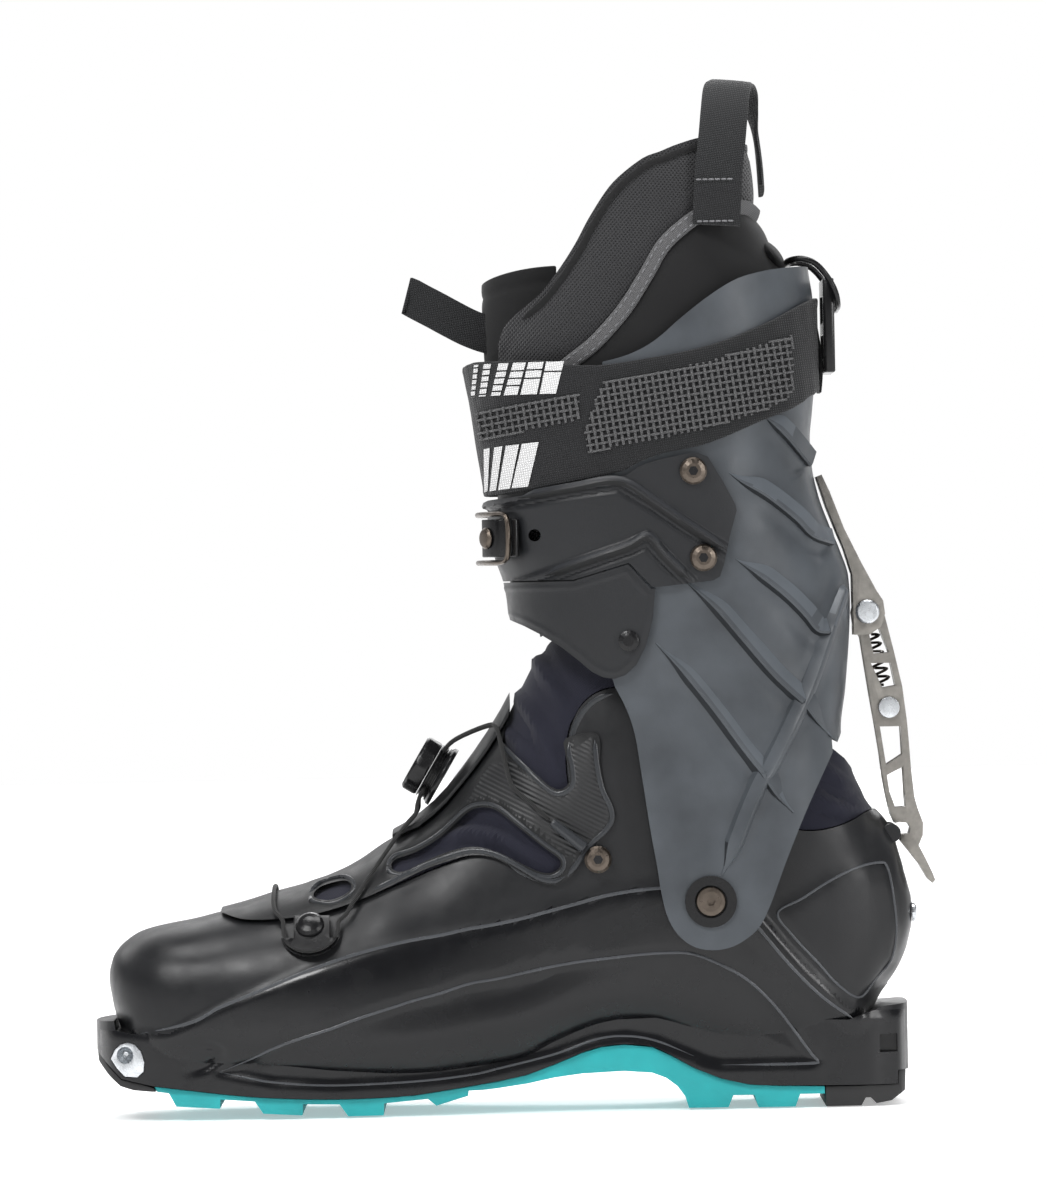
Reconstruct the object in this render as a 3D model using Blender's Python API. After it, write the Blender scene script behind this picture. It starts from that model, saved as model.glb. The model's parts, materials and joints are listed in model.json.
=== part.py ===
"""Touring ski boot, right foot, as an assembly of separate pieces.

Frame: +Z up, toe towards -X, heel towards +X, -Y is the inner (medial) side.
All lengths below are millimetres; M turns them into metres when a mesh is made.
"""
import bpy
import bmesh
import math
from mathutils import Vector, Matrix

for old in list(bpy.data.objects):
    bpy.data.objects.remove(old, do_unlink=True)

M = 0.001
SHIFT_X = -6.3          # moves the whole boot so its bounding box is centred on X
SHIFT_Y = 0.0

# ---- driving dimensions (mm): the sole is 294 long, from SOLE_TOE to SOLE_HEEL ----
SOLE_LENGTH = 294.0
SOLE_TOE = -145.3
SOLE_HEEL = SOLE_TOE + SOLE_LENGTH
SHELL_WALL = 3.6
CUFF_WALL = 3.6
PIVOT = (77.0, 74.8)            # cuff pivot, X and Z
PIVOT_BOSS_R = 14.0
ARM_HALF_WIDTH = 48.5
LOCK_BOLT = (136.4, 177.3)      # lock lever pivot, X and Z
LACE_R = 0.9
BAIL_R = 1.1
BAIL_Z = 206.3
BAIL_HALF_HEIGHT = 8.7
DIAL_C = (-11.5, 116.0)         # foot of the dial axis on the tongue guard
DIAL_N = Vector((-0.86, 0.0, 0.51)).normalized()
FLAP_T = 2.3

# ---- foot form: tables along X ----
Z_TOP = [(-140, 54), (-138.5, 58.5), (-134, 63.5), (-128, 67), (-120, 69), (-110, 70.7), (-100, 73),
         (-90, 75.5), (-80, 78.5), (-70, 81), (-60, 84), (-50, 89), (-40, 95.5), (-30, 101), (-20, 109),
         (-10, 121), (0, 135), (5, 143.5), (12, 157), (16, 164), (25, 171), (40, 175), (95, 172),
         (112, 158), (120, 146), (126, 134.5), (130, 122.5), (133, 115), (136, 108), (140, 104),
         (144, 98), (146, 91), (148, 84), (150, 76)]
Z_BOT = [(-140, 46), (-138.5, 38), (-134, 26), (-128, 16), (-120, 12.5), (-100, 10), (-80, 8.5),
         (-50, 6.8), (-30, 7.4), (-10, 10), (0, 11.5), (10, 13.5), (20, 18.5), (30, 22.5),
         (37, 24.5), (45, 25.4), (55, 24.6), (62, 22), (70, 18), (80, 14), (90, 11), (100, 9.8), (117, 9.6),
         (125, 12), (132, 26), (136, 34), (139, 39.5), (141, 42), (144, 46), (148, 54), (150, 62)]
HALF_W = [(-140, 9), (-138.5, 17), (-134, 27), (-128, 34), (-120, 39.5), (-110, 43.5), (-100, 46),
          (-80, 49), (-60, 50.5), (-40, 49.5), (-20, 46.5), (0, 43.5), (20, 41.5), (40, 41), (77, 41),
          (90, 40), (105, 38.5), (120, 36), (132, 32.5), (140, 28.5), (144, 26), (148, 21.5), (150, 17)]
Z_WIDE = [(-140, 50), (-130, 42), (-120, 38), (-40, 38), (0, 42), (40, 60), (77, 72), (120, 66), (150, 69)]
N_UP = [(-140, 2.0), (-120, 2.6), (-80, 2.4), (-40, 2.2), (0, 2.1), (15, 2.4), (30, 3.2), (50, 5.5),
        (77, 6.0), (95, 5.0), (110, 3.4), (125, 2.6), (150, 2.2)]
N_LOW = [(-140, 2.0), (-130, 2.6), (-100, 3.0), (120, 3.0), (135, 2.6), (150, 2.2)]
Y_MID = [(-140, -6), (-125, -5), (-95, 0), (150, 0)]
FLOOR = [(-137, 44), (-134, 33), (-128, 26), (-110, 21), (-60, 17.5), (0, 20), (45, 30), (75, 27),
         (110, 25), (130, 31), (140, 47), (147, 60)]

# ---- shaft form: tables along Z ----
X_BACK = [(50, 130), (75, 130), (100, 128), (120, 126), (135, 126), (150, 128), (172, 130), (182, 130.4),
          (190, 130), (200, 127), (210, 123), (220, 119.6), (230, 117.6), (240, 117), (250, 118),
          (262, 119), (290, 119), (303, 117.5), (360, 117)]
X_FRONT = [(50, 20), (135, 14), (160, 12), (177, 9.6), (190, 7.6), (200, 4.4), (212, 2.4), (220, 1.2),
           (230, -0.3), (240, -1.9), (255, -3.9), (267, -5.9), (280, -6.6), (300, -6.0), (360, -6)]
HALF_B = [(50, 48.5), (125, 48.5), (150, 49.5), (180, 51.5), (220, 53.5), (250, 54.5), (300, 53.5),
          (360, 52)]
X_MID = [(50, 75), (130, 75), (180, 66), (300, 60), (360, 60)]
N_SHAFT = [(50, 4.0), (120, 4.0), (160, 3.0), (200, 2.6), (300, 2.5), (360, 2.5)]


def table(rows, x):
    """Smooth, shape-keeping interpolation in a table of (x, value) rows."""
    if x <= rows[0][0]:
        return rows[0][1]
    if x >= rows[-1][0]:
        return rows[-1][1]
    i = 0
    while rows[i + 1][0] < x:
        i += 1
    (x0, y0), (x1, y1) = rows[i], rows[i + 1]
    h = x1 - x0
    s = (y1 - y0) / h

    def slope(j):
        if j <= 0 or j >= len(rows) - 1:
            return None
        a = (rows[j][1] - rows[j - 1][1]) / (rows[j][0] - rows[j - 1][0])
        b = (rows[j + 1][1] - rows[j][1]) / (rows[j + 1][0] - rows[j][0])
        if a * b <= 0:
            return 0.0
        return 2 * a * b / (a + b)

    m0 = slope(i)
    m1 = slope(i + 1)
    m0 = s if m0 is None else m0
    m1 = s if m1 is None else m1
    t = (x - x0) / h
    return (y0 * (2 * t ** 3 - 3 * t ** 2 + 1) + m0 * h * (t ** 3 - 2 * t ** 2 + t)
            + y1 * (3 * t ** 2 - 2 * t ** 3) + m1 * h * (t ** 3 - t ** 2))


def foot_ring(x, d, count, floor=None):
    """Closed YZ section of the foot form at X, grown by d; floor lifts the underside."""
    w = table(HALF_W, x) + d
    zc = table(Z_WIDE, x)
    up = table(Z_TOP, x) + d - zc
    low = zc - (table(Z_BOT, x) - d if floor is None else floor)
    ring = []
    for k in range(count):
        a = 2 * math.pi * k / count
        u = math.cos(a)
        v = math.sin(a)
        n = table(N_UP, x) if v >= 0 else table(N_LOW, x)
        s = (abs(u) ** n + abs(v) ** n) ** (-1 / n)
        ring.append((x, table(Y_MID, x) + w * u * s, zc + (up if v >= 0 else low) * v * s))
    return ring


def foot_y(x, z, d=0.0):
    """Half width of the foot form at (X, Z), grown by d."""
    w = table(HALF_W, x) + d
    zc = table(Z_WIDE, x)
    if z >= zc:
        n = table(N_UP, x)
        q = (z - zc) / (table(Z_TOP, x) + d - zc)
    else:
        n = table(N_LOW, x)
        q = (zc - z) / (zc - table(Z_BOT, x) + d)
    q = min(q, 0.999)
    return w * (1 - q ** n) ** (1 / n)


def foot_point(x, z, side, d):
    return Vector((x, table(Y_MID, x) + side * foot_y(x, z, d), z))


def foot_normal(x, z, side):
    a = foot_point(x - 1, z, side, 0)
    b = foot_point(x + 1, z, side, 0)
    c = foot_point(x, z - 1, side, 0)
    e = foot_point(x, z + 1, side, 0)
    n = (b - a).cross(e - c).normalized()
    return n if n.y * side > 0 else -n


def shaft_point(angle, z, d):
    """Point of the shaft form; angle 0 is the back, +90 deg the outer (lateral) side."""
    u = math.cos(angle)
    v = math.sin(angle)
    n = table(N_SHAFT, z)
    s = (abs(u) ** n + abs(v) ** n) ** (-1 / n)
    xm = table(X_MID, z)
    reach = (table(X_BACK, z) - xm + d) if u >= 0 else (xm - table(X_FRONT, z) + d)
    return Vector((xm + reach * u * s, (table(HALF_B, z) + d) * v * s, z))


def shaft_angle(x, z, d, side):
    """Angle at which the shaft form passes X at height z on one side."""
    lo, hi = 0.0, math.pi
    for _ in range(40):
        mid = (lo + hi) / 2
        if shaft_point(mid, z, d).x > x:
            lo = mid
        else:
            hi = mid
    return side * (lo + hi) / 2


def shaft_normal(angle, z):
    a = shaft_point(angle - 0.01, z, 0)
    b = shaft_point(angle + 0.01, z, 0)
    t = b - a
    n = Vector((t.y, -t.x, 0)).normalized()
    out = shaft_point(angle, z, 0) - Vector((table(X_MID, z), 0, z))
    return n if n.dot(out) > 0 else -n


# ---- mesh helpers ----
def material(name, colour, rough, metal=0.0):
    mat = bpy.data.materials.new(name)
    mat.use_nodes = True
    node = mat.node_tree.nodes["Principled BSDF"]
    node.inputs["Base Color"].default_value = (colour[0], colour[1], colour[2], 1)
    node.inputs["Roughness"].default_value = rough
    node.inputs["Metallic"].default_value = metal
    return mat


KINDS = {
    "shell_plastic": ((0.022, 0.023, 0.025), 0.45, 0.0),
    "cuff_plastic": ((0.075, 0.088, 0.105), 0.42, 0.0),
    "flap_plastic": ((0.030, 0.033, 0.037), 0.5, 0.0),
    "teal_rubber": ((0.012, 0.42, 0.45), 0.6, 0.0),
    "black_rubber": ((0.012, 0.012, 0.013), 0.7, 0.0),
    "steel": ((0.55, 0.55, 0.55), 0.3, 1.0),
    "dark_steel": ((0.22, 0.20, 0.18), 0.35, 1.0),
    "lever_alloy": ((0.38, 0.37, 0.35), 0.38, 1.0),
    "navy_fabric": ((0.020, 0.021, 0.036), 0.9, 0.0),
    "overlap_tpu": ((0.020, 0.021, 0.022), 0.5, 0.0),
    "lace_black": ((0.02, 0.02, 0.02), 0.6, 0.0),
    "webbing": ((0.02, 0.021, 0.023), 0.85, 0.0),
    "liner_mesh": ((0.018, 0.018, 0.018), 0.95, 0.0),
    "gloss_black": ((0.01, 0.01, 0.011), 0.18, 0.0),
}


def finish(name, verts, faces, kind, smooth=True, origin=None):
    """Makes one closed object from vertices in mm, facing out, in its own material."""
    mesh = bpy.data.meshes.new(name)
    mesh.from_pydata([Vector(v) for v in verts], [], faces)
    bm = bmesh.new()
    bm.from_mesh(mesh)
    bmesh.ops.remove_doubles(bm, verts=bm.verts, dist=1e-5)
    bmesh.ops.recalc_face_normals(bm, faces=bm.faces)
    if bm.calc_volume(signed=True) < 0:
        bmesh.ops.reverse_faces(bm, faces=bm.faces)
    bm.to_mesh(mesh)
    bm.free()
    obj = bpy.data.objects.new(name, mesh)
    bpy.context.collection.objects.link(obj)
    for poly in mesh.polygons:
        poly.use_smooth = smooth
    if kind:
        colour, rough, metal = KINDS[kind]
        mesh.materials.append(material("mat_" + name, colour, rough, metal))
    return obj


def loft(name, rings, kind, smooth=True):
    """Solid through closed rings of equal length, capped at both ends."""
    count = len(rings[0])
    verts = [p for ring in rings for p in ring]
    faces = []
    for i in range(len(rings) - 1):
        for k in range(count):
            a = i * count + k
            b = i * count + (k + 1) % count
            faces.append((a, b, b + count, a + count))
    faces.append(tuple(range(count))[::-1])
    faces.append(tuple((len(rings) - 1) * count + k for k in range(count)))
    return finish(name, verts, faces, kind, smooth)


def tube_wall(name, outer, inner, kind, smooth=True):
    """Wall between two nested stacks of closed rings, open through the middle."""
    count = len(outer[0])
    stack = len(outer)
    verts = [p for ring in outer for p in ring] + [p for ring in inner for p in ring]
    off = stack * count
    faces = []
    for i in range(stack - 1):
        for k in range(count):
            j = (k + 1) % count
            faces.append((i * count + k, i * count + j, (i + 1) * count + j, (i + 1) * count + k))
            faces.append((off + i * count + j, off + i * count + k,
                          off + (i + 1) * count + k, off + (i + 1) * count + j))
    for k in range(count):
        j = (k + 1) % count
        faces.append((j, k, off + k, off + j))
        a = (stack - 1) * count
        faces.append((a + k, a + j, off + a + j, off + a + k))
    return finish(name, verts, faces, kind, smooth)


def patch(name, outer, inner, kind, smooth=True):
    """Closed sheet of thickness: two open grids of points joined round their edges."""
    rows = len(outer)
    cols = len(outer[0])
    verts = [p for r in outer for p in r] + [p for r in inner for p in r]
    off = rows * cols
    faces = []
    for i in range(rows - 1):
        for k in range(cols - 1):
            a = i * cols + k
            faces.append((a, a + 1, a + cols + 1, a + cols))
            faces.append((off + a + 1, off + a, off + a + cols, off + a + cols + 1))
    for i in range(rows - 1):
        a = i * cols
        faces.append((a, a + cols, off + a + cols, off + a))
        b = i * cols + cols - 1
        faces.append((b + cols, b, off + b, off + b + cols))
    for k in range(cols - 1):
        faces.append((k + 1, k, off + k, off + k + 1))
        c = (rows - 1) * cols + k
        faces.append((c, c + 1, off + c + 1, off + c))
    return finish(name, verts, faces, kind, smooth)


def prism(name, outline, y0, y1, kind=None, smooth=False):
    """Outline in X, Z extruded along Y."""
    n = len(outline)
    verts = [(x, y0, z) for x, z in outline] + [(x, y1, z) for x, z in outline]
    faces = [tuple(range(n)), tuple(range(2 * n - 1, n - 1, -1))]
    for k in range(n):
        j = (k + 1) % n
        faces.append((k, j, n + j, n + k))
    return finish(name, verts, faces, kind, smooth)


def plan_prism(name, outline, z0, z1, kind=None):
    """Outline in X, Y extruded along Z."""
    n = len(outline)
    verts = [(x, y, z0) for x, y in outline] + [(x, y, z1) for x, y in outline]
    faces = [tuple(range(n)), tuple(range(2 * n - 1, n - 1, -1))]
    for k in range(n):
        j = (k + 1) % n
        faces.append((k, j, n + j, n + k))
    return finish(name, verts, faces, kind, False)


def box(name, lo, hi, kind=None):
    outline = [(lo[0], lo[2]), (hi[0], lo[2]), (hi[0], hi[2]), (lo[0], hi[2])]
    return prism(name, outline, lo[1], hi[1], kind)


def frame_on(normal, up=None):
    """Rotation whose local Z is the normal."""
    z = Vector(normal).normalized()
    up = Vector((0, 0, 1)) if up is None else Vector(up)
    if abs(z.dot(up)) > 0.95:
        up = Vector((1, 0, 0))
    x = up.cross(z).normalized()
    y = z.cross(x)
    return Matrix((x, y, z)).transposed()


def turned(name, centre, axis, profile, kind, count=16, up=None):
    """Solid of revolution: profile is (radius, height) from the foot to the top, ends on the axis."""
    rot = frame_on(axis, up)
    verts = []
    faces = []
    start = Vector(centre) + rot @ Vector((0, 0, profile[0][1]))
    stop = Vector(centre) + rot @ Vector((0, 0, profile[-1][1]))
    for r, h in profile:
        for k in range(count):
            a = 2 * math.pi * k / count
            verts.append(Vector(centre) + rot @ Vector((r * math.cos(a), r * math.sin(a), h)))
    for i in range(len(profile) - 1):
        for k in range(count):
            j = (k + 1) % count
            faces.append((i * count + k, i * count + j, (i + 1) * count + j, (i + 1) * count + k))
    verts += [start, stop]
    s = len(verts) - 2
    for k in range(count):
        j = (k + 1) % count
        faces.append((j, k, s))
        top = (len(profile) - 1) * count
        faces.append((top + k, top + j, s + 1))
    return finish(name, verts, faces, kind)


def washer(name, centre, axis, r_in, r_out, h0, h1, kind, count=24):
    """Flat ring with a hole right through."""
    rot = frame_on(axis)
    profile = [(r_in, h0), (r_out, h0), (r_out, h1), (r_in, h1)]
    verts = []
    faces = []
    for r, h in profile:
        for k in range(count):
            a = 2 * math.pi * k / count
            verts.append(Vector(centre) + rot @ Vector((r * math.cos(a), r * math.sin(a), h)))
    for i in range(4):
        for k in range(count):
            j = (k + 1) % count
            a = i * count
            b = ((i + 1) % 4) * count
            faces.append((a + k, a + j, b + j, b + k))
    return finish(name, verts, faces, kind)


def sweep(name, path, section, kind, ups=None, closed=False):
    """Solid swept along a path; section is a list of (across, up) offsets."""
    pts = [Vector(p) for p in path]
    count = len(section)
    rings = []
    prev = None
    for i, p in enumerate(pts):
        if closed:
            t = (pts[(i + 1) % len(pts)] - pts[i - 1]).normalized()
        else:
            t = (pts[min(i + 1, len(pts) - 1)] - pts[max(i - 1, 0)]).normalized()
        if ups is not None:
            up = Vector(ups[i] if isinstance(ups, list) else ups)
        elif prev is None:
            up = Vector((0, 0, 1)) if abs(t.z) < 0.9 else Vector((0, 1, 0))
        else:
            up = prev
        side = t.cross(up).normalized()
        up = side.cross(t).normalized()
        prev = up
        rings.append([p + side * a + up * b for a, b in section])
    if not closed:
        return loft(name, rings, kind)
    verts = [p for ring in rings for p in ring]
    faces = []
    for i in range(len(rings)):
        m = (i + 1) % len(rings)
        for k in range(count):
            j = (k + 1) % count
            faces.append((i * count + k, i * count + j, m * count + j, m * count + k))
    return finish(name, verts, faces, kind)


def round_section(r, count=8):
    return [(r * math.cos(2 * math.pi * k / count), r * math.sin(2 * math.pi * k / count))
            for k in range(count)]


def resample(path, step):
    """Evenly spaced points on a smooth line through the given points."""
    pts = [Vector(p) for p in path]
    dense = []
    for i in range(len(pts) - 1):
        p0 = pts[max(i - 1, 0)]
        p1 = pts[i]
        p2 = pts[i + 1]
        p3 = pts[min(i + 2, len(pts) - 1)]
        for k in range(12):
            t = k / 12
            dense.append(0.5 * ((2 * p1) + (p2 - p0) * t + (2 * p0 - 5 * p1 + 4 * p2 - p3) * t * t
                                + (3 * p1 - p0 - 3 * p2 + p3) * t ** 3))
    dense.append(pts[-1])
    out = [dense[0]]
    gone = 0.0
    for i in range(1, len(dense)):
        gone += (dense[i] - dense[i - 1]).length
        if gone >= step:
            out.append(dense[i])
            gone = 0.0
    if (out[-1] - dense[-1]).length < step * 0.4:
        out[-1] = dense[-1]
    else:
        out.append(dense[-1])
    return out


def boolean(target, cutter, op):
    mod = target.modifiers.new("bool", "BOOLEAN")
    mod.solver = "EXACT"
    mod.operation = op
    mod.object = cutter
    dep = bpy.context.evaluated_depsgraph_get()
    mesh = bpy.data.meshes.new_from_object(target.evaluated_get(dep))
    target.modifiers.clear()
    old = target.data
    target.data = mesh
    bpy.data.meshes.remove(old)
    bpy.data.objects.remove(cutter, do_unlink=True)
    return target


def cut(target, cutter):
    return boolean(target, cutter, "DIFFERENCE")


def join(target, other):
    return boolean(target, other, "UNION")


def keep(target, cutter):
    return boolean(target, cutter, "INTERSECT")


def steps(a, b, n):
    return [a + (b - a) * i / (n - 1) for i in range(n)]


# ---- sole and lower shell ----
STATIONS = [-140, -138.5, -136, -132, -127, -120, -110, -98, -84, -70, -56, -42, -28, -15, -4, 6, 15, 25,
            36, 52, 75, 94, 107, 117, 125, 131, 136, 140, 144, 147.5, 150]
RING = 26


def stations(a, b):
    inside = [x for x in STATIONS if a + 1 < x < b - 1]
    return [a] + inside + [b]


PLAN_HALF = [(SOLE_TOE, 0.5), (-145.0, 9), (-144, 16), (-142, 22), (-139, 27), (-134, 31.5), (-126, 36),
             (-112, 40), (-95, 43.5), (-75, 45.5), (-55, 45), (-35, 42), (-15, 38), (5, 35), (30, 33.5),
             (60, 33.5), (90, 34.5), (117, 34.5), (132, 33), (141, 29.5), (145, 26), (147.3, 20), (148, 12),
             (SOLE_HEEL - 0.5, 1)]


def sole_plan(name, inset, z0, z1):
    """Prism of the sole's outline seen from below."""
    side_a = [(x + (inset if x < 0 else -inset) * 0.3, table(Y_MID, x) + max(y - inset, 0.2))
              for x, y in PLAN_HALF]
    side_b = [(x + (inset if x < 0 else -inset) * 0.3, table(Y_MID, x) - max(y - inset, 0.2))
              for x, y in reversed(PLAN_HALF)]
    return plan_prism(name, side_a + side_b, z0, z1)


SOLE_TOP_LINE = [(-123.5, 12.0), (-120, 11.6), (-110, 10.3), (-100, 9.0), (-90, 7.9), (-80, 7.2),
                 (-70, 6.7),
                 (-60, 6.4), (-50, 6.4), (-40, 6.6), (-30, 7.1), (-20, 8.4), (-10, 9.8), (0, 11.3),
                 (10, 13.3), (20, 16.8), (30, 20.8), (37, 22.8), (45, 23.5), (55, 22.5), (62, 19.2),
                 (70, 14.7), (80, 10.6), (90, 8.3), (100, 7.7), (117, 7.4)]

shell = loft("lower_shell", [foot_ring(x, 0, RING) for x in STATIONS], "shell_plastic")

block_line = [(SOLE_TOE - 0.2, 33), (-145.2, 26.9), (-140.5, 19.9), (-135.5, 14.9), (-128, 13.2)]
block_line += [(x, z + 0.25) for x, z in SOLE_TOP_LINE]
block_line += [(143.4, 7.4), (143.6, 12.3), (149, 12.3), (149, 36.6), (139, 35.5), (126, 31), (60, 33),
               (-60, 30), (-132, 31), (-137.3, 32), (-138, 35.6), (-143.5, 35)]
block = prism("block", block_line, -60, 60)
keep(block, sole_plan("plan", 0.0, 0, 60))
join(shell, block)
for side in (-1, 1):
    lo = min(side * 38, side * 44.6)
    boss = turned("boss", (PIVOT[0], side * 38, PIVOT[1]), (0, side, 0),
                  [(PIVOT_BOSS_R + 2, 0), (PIVOT_BOSS_R, 6.6)], None)
    join(shell, boss)

cavity_x = [-136, -133, -128, -120, -106, -88, -66, -44, -24, -8, 6, 20, 36, 60, 85, 105, 118, 127, 134,
            140, 144, 146.3]
cavity = loft("cavity", [foot_ring(x, -SHELL_WALL, 22, table(FLOOR, x)) for x in cavity_x], None)
cut(shell, cavity)

RIM = [(-101, 73.4), (-96, 71.6), (-90, 71.0), (-80, 71.5), (-70, 72.5), (-60, 74), (-50, 77), (-40, 80.5),
       (-30, 84.5), (-20, 88.5), (-10, 92), (-3, 93), (3, 91.2), (10, 87), (17, 84.2), (23, 84.8), (27, 88),
       (29, 94), (29, 104), (27.5, 114), (26.5, 124), (27, 133), (29, 140), (32.5, 146), (38, 150.2),
       (46, 151.8), (62, 151), (74, 146), (84, 134), (92, 118), (99, 106), (106, 100.5), (113, 99),
       (121, 99.8), (128, 102), (134, 105), (139, 106)]
opening = prism("opening", RIM + [(139, 260), (-101, 260)], -70, 70)
cut(shell, opening)

# toe and heel inserts sit in pockets of the sole block
TOE_INSERT = [(-139.3, 22.0), (-137.8, 25.2), (-135.6, 27.2), (-133, 28), (-130.4, 27.2), (-128.2, 24.8),
              (-127, 20.8), (-127.4, 17.6), (-129.6, 15.6), (-134.2, 15.8), (-137, 18.6)]


def grow(outline, d):
    cx = sum(p[0] for p in outline) / len(outline)
    cz = sum(p[1] for p in outline) / len(outline)
    out = []
    for x, z in outline:
        r = math.hypot(x - cx, z - cz)
        out.append((cx + (x - cx) * (r + d) / r, cz + (z - cz) * (r + d) / r))
    return out


cut(shell, prism("pocket", grow(TOE_INSERT, 0.3), -60, 60))
cut(shell, box("pocket", (143.9, -16.3, 12), (150, 16.3, 28.3)))
for side in (-1, 1):
    a, b = sorted((side * 24, side * 50))
    cut(shell, box("notch", (137, a, 19), (143.5, b, 25.5)))

# channel in the heel that the lock lever runs in
channel_line = []
for k in range(17):
    a = math.radians(-27 + k * 4.4)
    channel_line.append((PIVOT[0] + 71.2 * math.cos(a), PIVOT[1] + 71.2 * math.sin(a)))
channel_line += [(130, 170), (180, 150), (170, 44)]
cut(shell, prism("channel", channel_line, -11, 11))
# the lock bar stands in a pocket at the mouth of the hook
BAR = (PIVOT[0] + 70.0 * math.cos(math.radians(18.6)), PIVOT[1] + 70.0 * math.sin(math.radians(18.6)))
for side in (-1, 1):
    join(shell, turned("lug", (BAR[0], side * 13.2 - 1.95, BAR[1]), (0, 1, 0), [(3.4, 0), (3.4, 3.9)], None,
                       24))
cut(shell, turned("barseat", (BAR[0], -11.12, BAR[1]), (0, 1, 0), [(3.0, 0), (3.0, 22.24)], None, 20))
cut(shell, turned("barhole", (BAR[0], -14.3, BAR[1]), (0, 1, 0), [(2.1, 0), (2.1, 28.6)], None, 20))
turned("lock_bar", (BAR[0], -14, BAR[1]), (0, 1, 0), [(1.8, 0), (1.8, 28)], "dark_steel", 20)

# teal outsole with lugs, black heel and toe rubber
tread = [(x, z - 0.05) for x, z in SOLE_TOP_LINE[:-1]] + [(116.9, 7.2)]
under = [(116.9, 4.6), (108, 4.6), (106.3, 0.1), (93, 0.1), (91.6, 4.6), (84, 4.6), (82.2, 0.3), (68, 0.3),
         (66.8, 4.5), (64, 8.3), (60, 11.3), (55, 13.2), (45, 14), (30, 13.4), (20, 12.2), (10, 10.2),
         (0, 8.9), (-5, 8.4), (-11.2, 8.2), (-11.2, 6.4), (-22.6, 3.2), (-25.6, 5.7), (-41.4, 4.6),
         (-41.6, 0.3),
         (-54.2, 0.3), (-57.2, 4.6), (-70.4, 5.0), (-70.6, 1.0), (-84.6, 1.8), (-87.6, 6.2), (-100, 7.1),
         (-100.2, 3.8), (-115.8, 4.8), (-118.4, 9.6), (-122.6, 10.2)]
outsole = prism("outsole", tread + under, -60, 60, "teal_rubber")
keep(outsole, sole_plan("plan", 1.2, -1, 40))
for y in (-14, 14):
    cut(outsole, box("groove", (-118, y - 3, -1), (-28, y + 3, 4.4)))
cut(outsole, box("groove", (66, -6, -1), (112, 6, 4.2)))

heel_line = [(117.3, 7.1), (117.3, 0), (130, 0), (131.6, 2.8), (133.4, 2.8), (135.5, 0.6), (141, 1.4),
             (146.2, 4.8), (146.6, 12.0), (143.9, 12.0), (143.7, 7.1)]
heel_rubber = prism("heel_rubber", heel_line, -60, 60, "black_rubber")
keep(heel_rubber, sole_plan("plan", 0.8, -1, 40))

toe_line = [(-145.2, 26.5), (-144.4, 21), (-140, 15.8), (-136, 12.2), (-131, 10.8), (-123.2, 10.2),
            (-123.9, 11.6), (-128, 12.8), (-135.7, 14.5), (-140.8, 19.6)]
toe_rubber = prism("toe_rubber", toe_line, -60, 60, "black_rubber")
keep(toe_rubber, sole_plan("plan", 0.5, -1, 40))

insert = prism("toe_insert", TOE_INSERT, -60, 60, "steel")
keep(insert, sole_plan("plan", -0.7, 0, 60))
for side in (-1, 1):
    socket = turned("socket", (-134, side * 42 - 4, 23.4), (0, -side, 0),
                    [(3.1, 0), (3.1, 12.5), (0.9, 16)], None)
    cut(insert, socket)

heel_insert = box("heel_insert", (144.3, -16, 12.7), (147.6, 16, 28), "steel")
for y in (-9.5, 9.5):
    cut(heel_insert, box("slot", (145.4, y - 2.6, 12), (149, y + 2.6, 21)))
for name, side in (("heel_screw_medial", -1), ("heel_screw_lateral", 1)):
    turned(name, (150.3, side * 14.2, 68.5), (1, 0, 0), [(3.4, 0), (3.4, 0.7), (2.2, 1.5)], "steel", 20)


# ---- soft parts held by the lower shell ----
SOFT_TOP = [(-9.6, 124.8), (-5.7, 144.2), (5.7, 159.8), (18.7, 168), (31.4, 168.3), (45.5, 161.3),
            (56, 155),
            (66, 152.5), (72, 150), (78, 146.6), (86, 144.6), (95.2, 142.8), (112.2, 135.8), (126.8, 124.6),
            (138, 110), (143.4, 98.8)]

def tucked(ring, half):
    """The ring drawn in softly to a half width above the ankle, so the leaning cuff clears it."""
    out = []
    for x, y, z in ring:
        limit = half + 0.6 * max(0.0, 121 - z) + 0.3 * max(0.0, 88 - x, x - 110)
        over = abs(y) / limit
        out.append((x, y / (1 + over ** 24) ** (1 / 24) if z > 90 else y, z))
    return out


gaiter_x = stations(-102, 138.5)
gaiter = tube_wall("gaiter", [tucked(foot_ring(x, -0.6, RING), 34.9) for x in gaiter_x],
                   [tucked(foot_ring(x, -2.2, RING, table(FLOOR, x)), 33.3) for x in gaiter_x],
                   "navy_fabric")
above_rim = [(-100.4, 73.95)]
above_rim += [(x - (0.45 if 26 < x < 30 and 90 < z < 141 else 0.0), z + 0.45) for x, z in RIM[1:-1]]
above_rim += [(138.2, 106.4)]
keep(gaiter, prism("region", above_rim + [(137.6, 110.6)] + SOFT_TOP[::-1][2:-1]
                   + [(-9.6, 146), (-100.4, 146)], -60, 60))

liner_x = [-133.4, -130, -125, -112, -90, -60, -34, -14, 4, 18, 34, 60, 90, 112, 124, 133, 140, 145]
inner_x = [-128, -120, -100, -70, -38, -16, 4, 20, 36, 60, 90, 112, 126, 134, 139]
liner_foot = loft("liner_foot", [foot_ring(x, -5.9, 18, table(FLOOR, x) + 1.2) for x in liner_x],
                  "liner_mesh")
cut(liner_foot, loft("hollow", [foot_ring(x, -9.4, 18, table(FLOOR, x) + 5.4) for x in inner_x], None))
below = [(-150, 0), (160, 0), (147, 99.5), (142.6, 98.6)] + SOFT_TOP[::-1][1:13]
below += [(28, 160), (10, 132), (2, 120), (-12, 128), (-150, 128)]
keep(liner_foot, prism("region", below, -60, 60))

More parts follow.
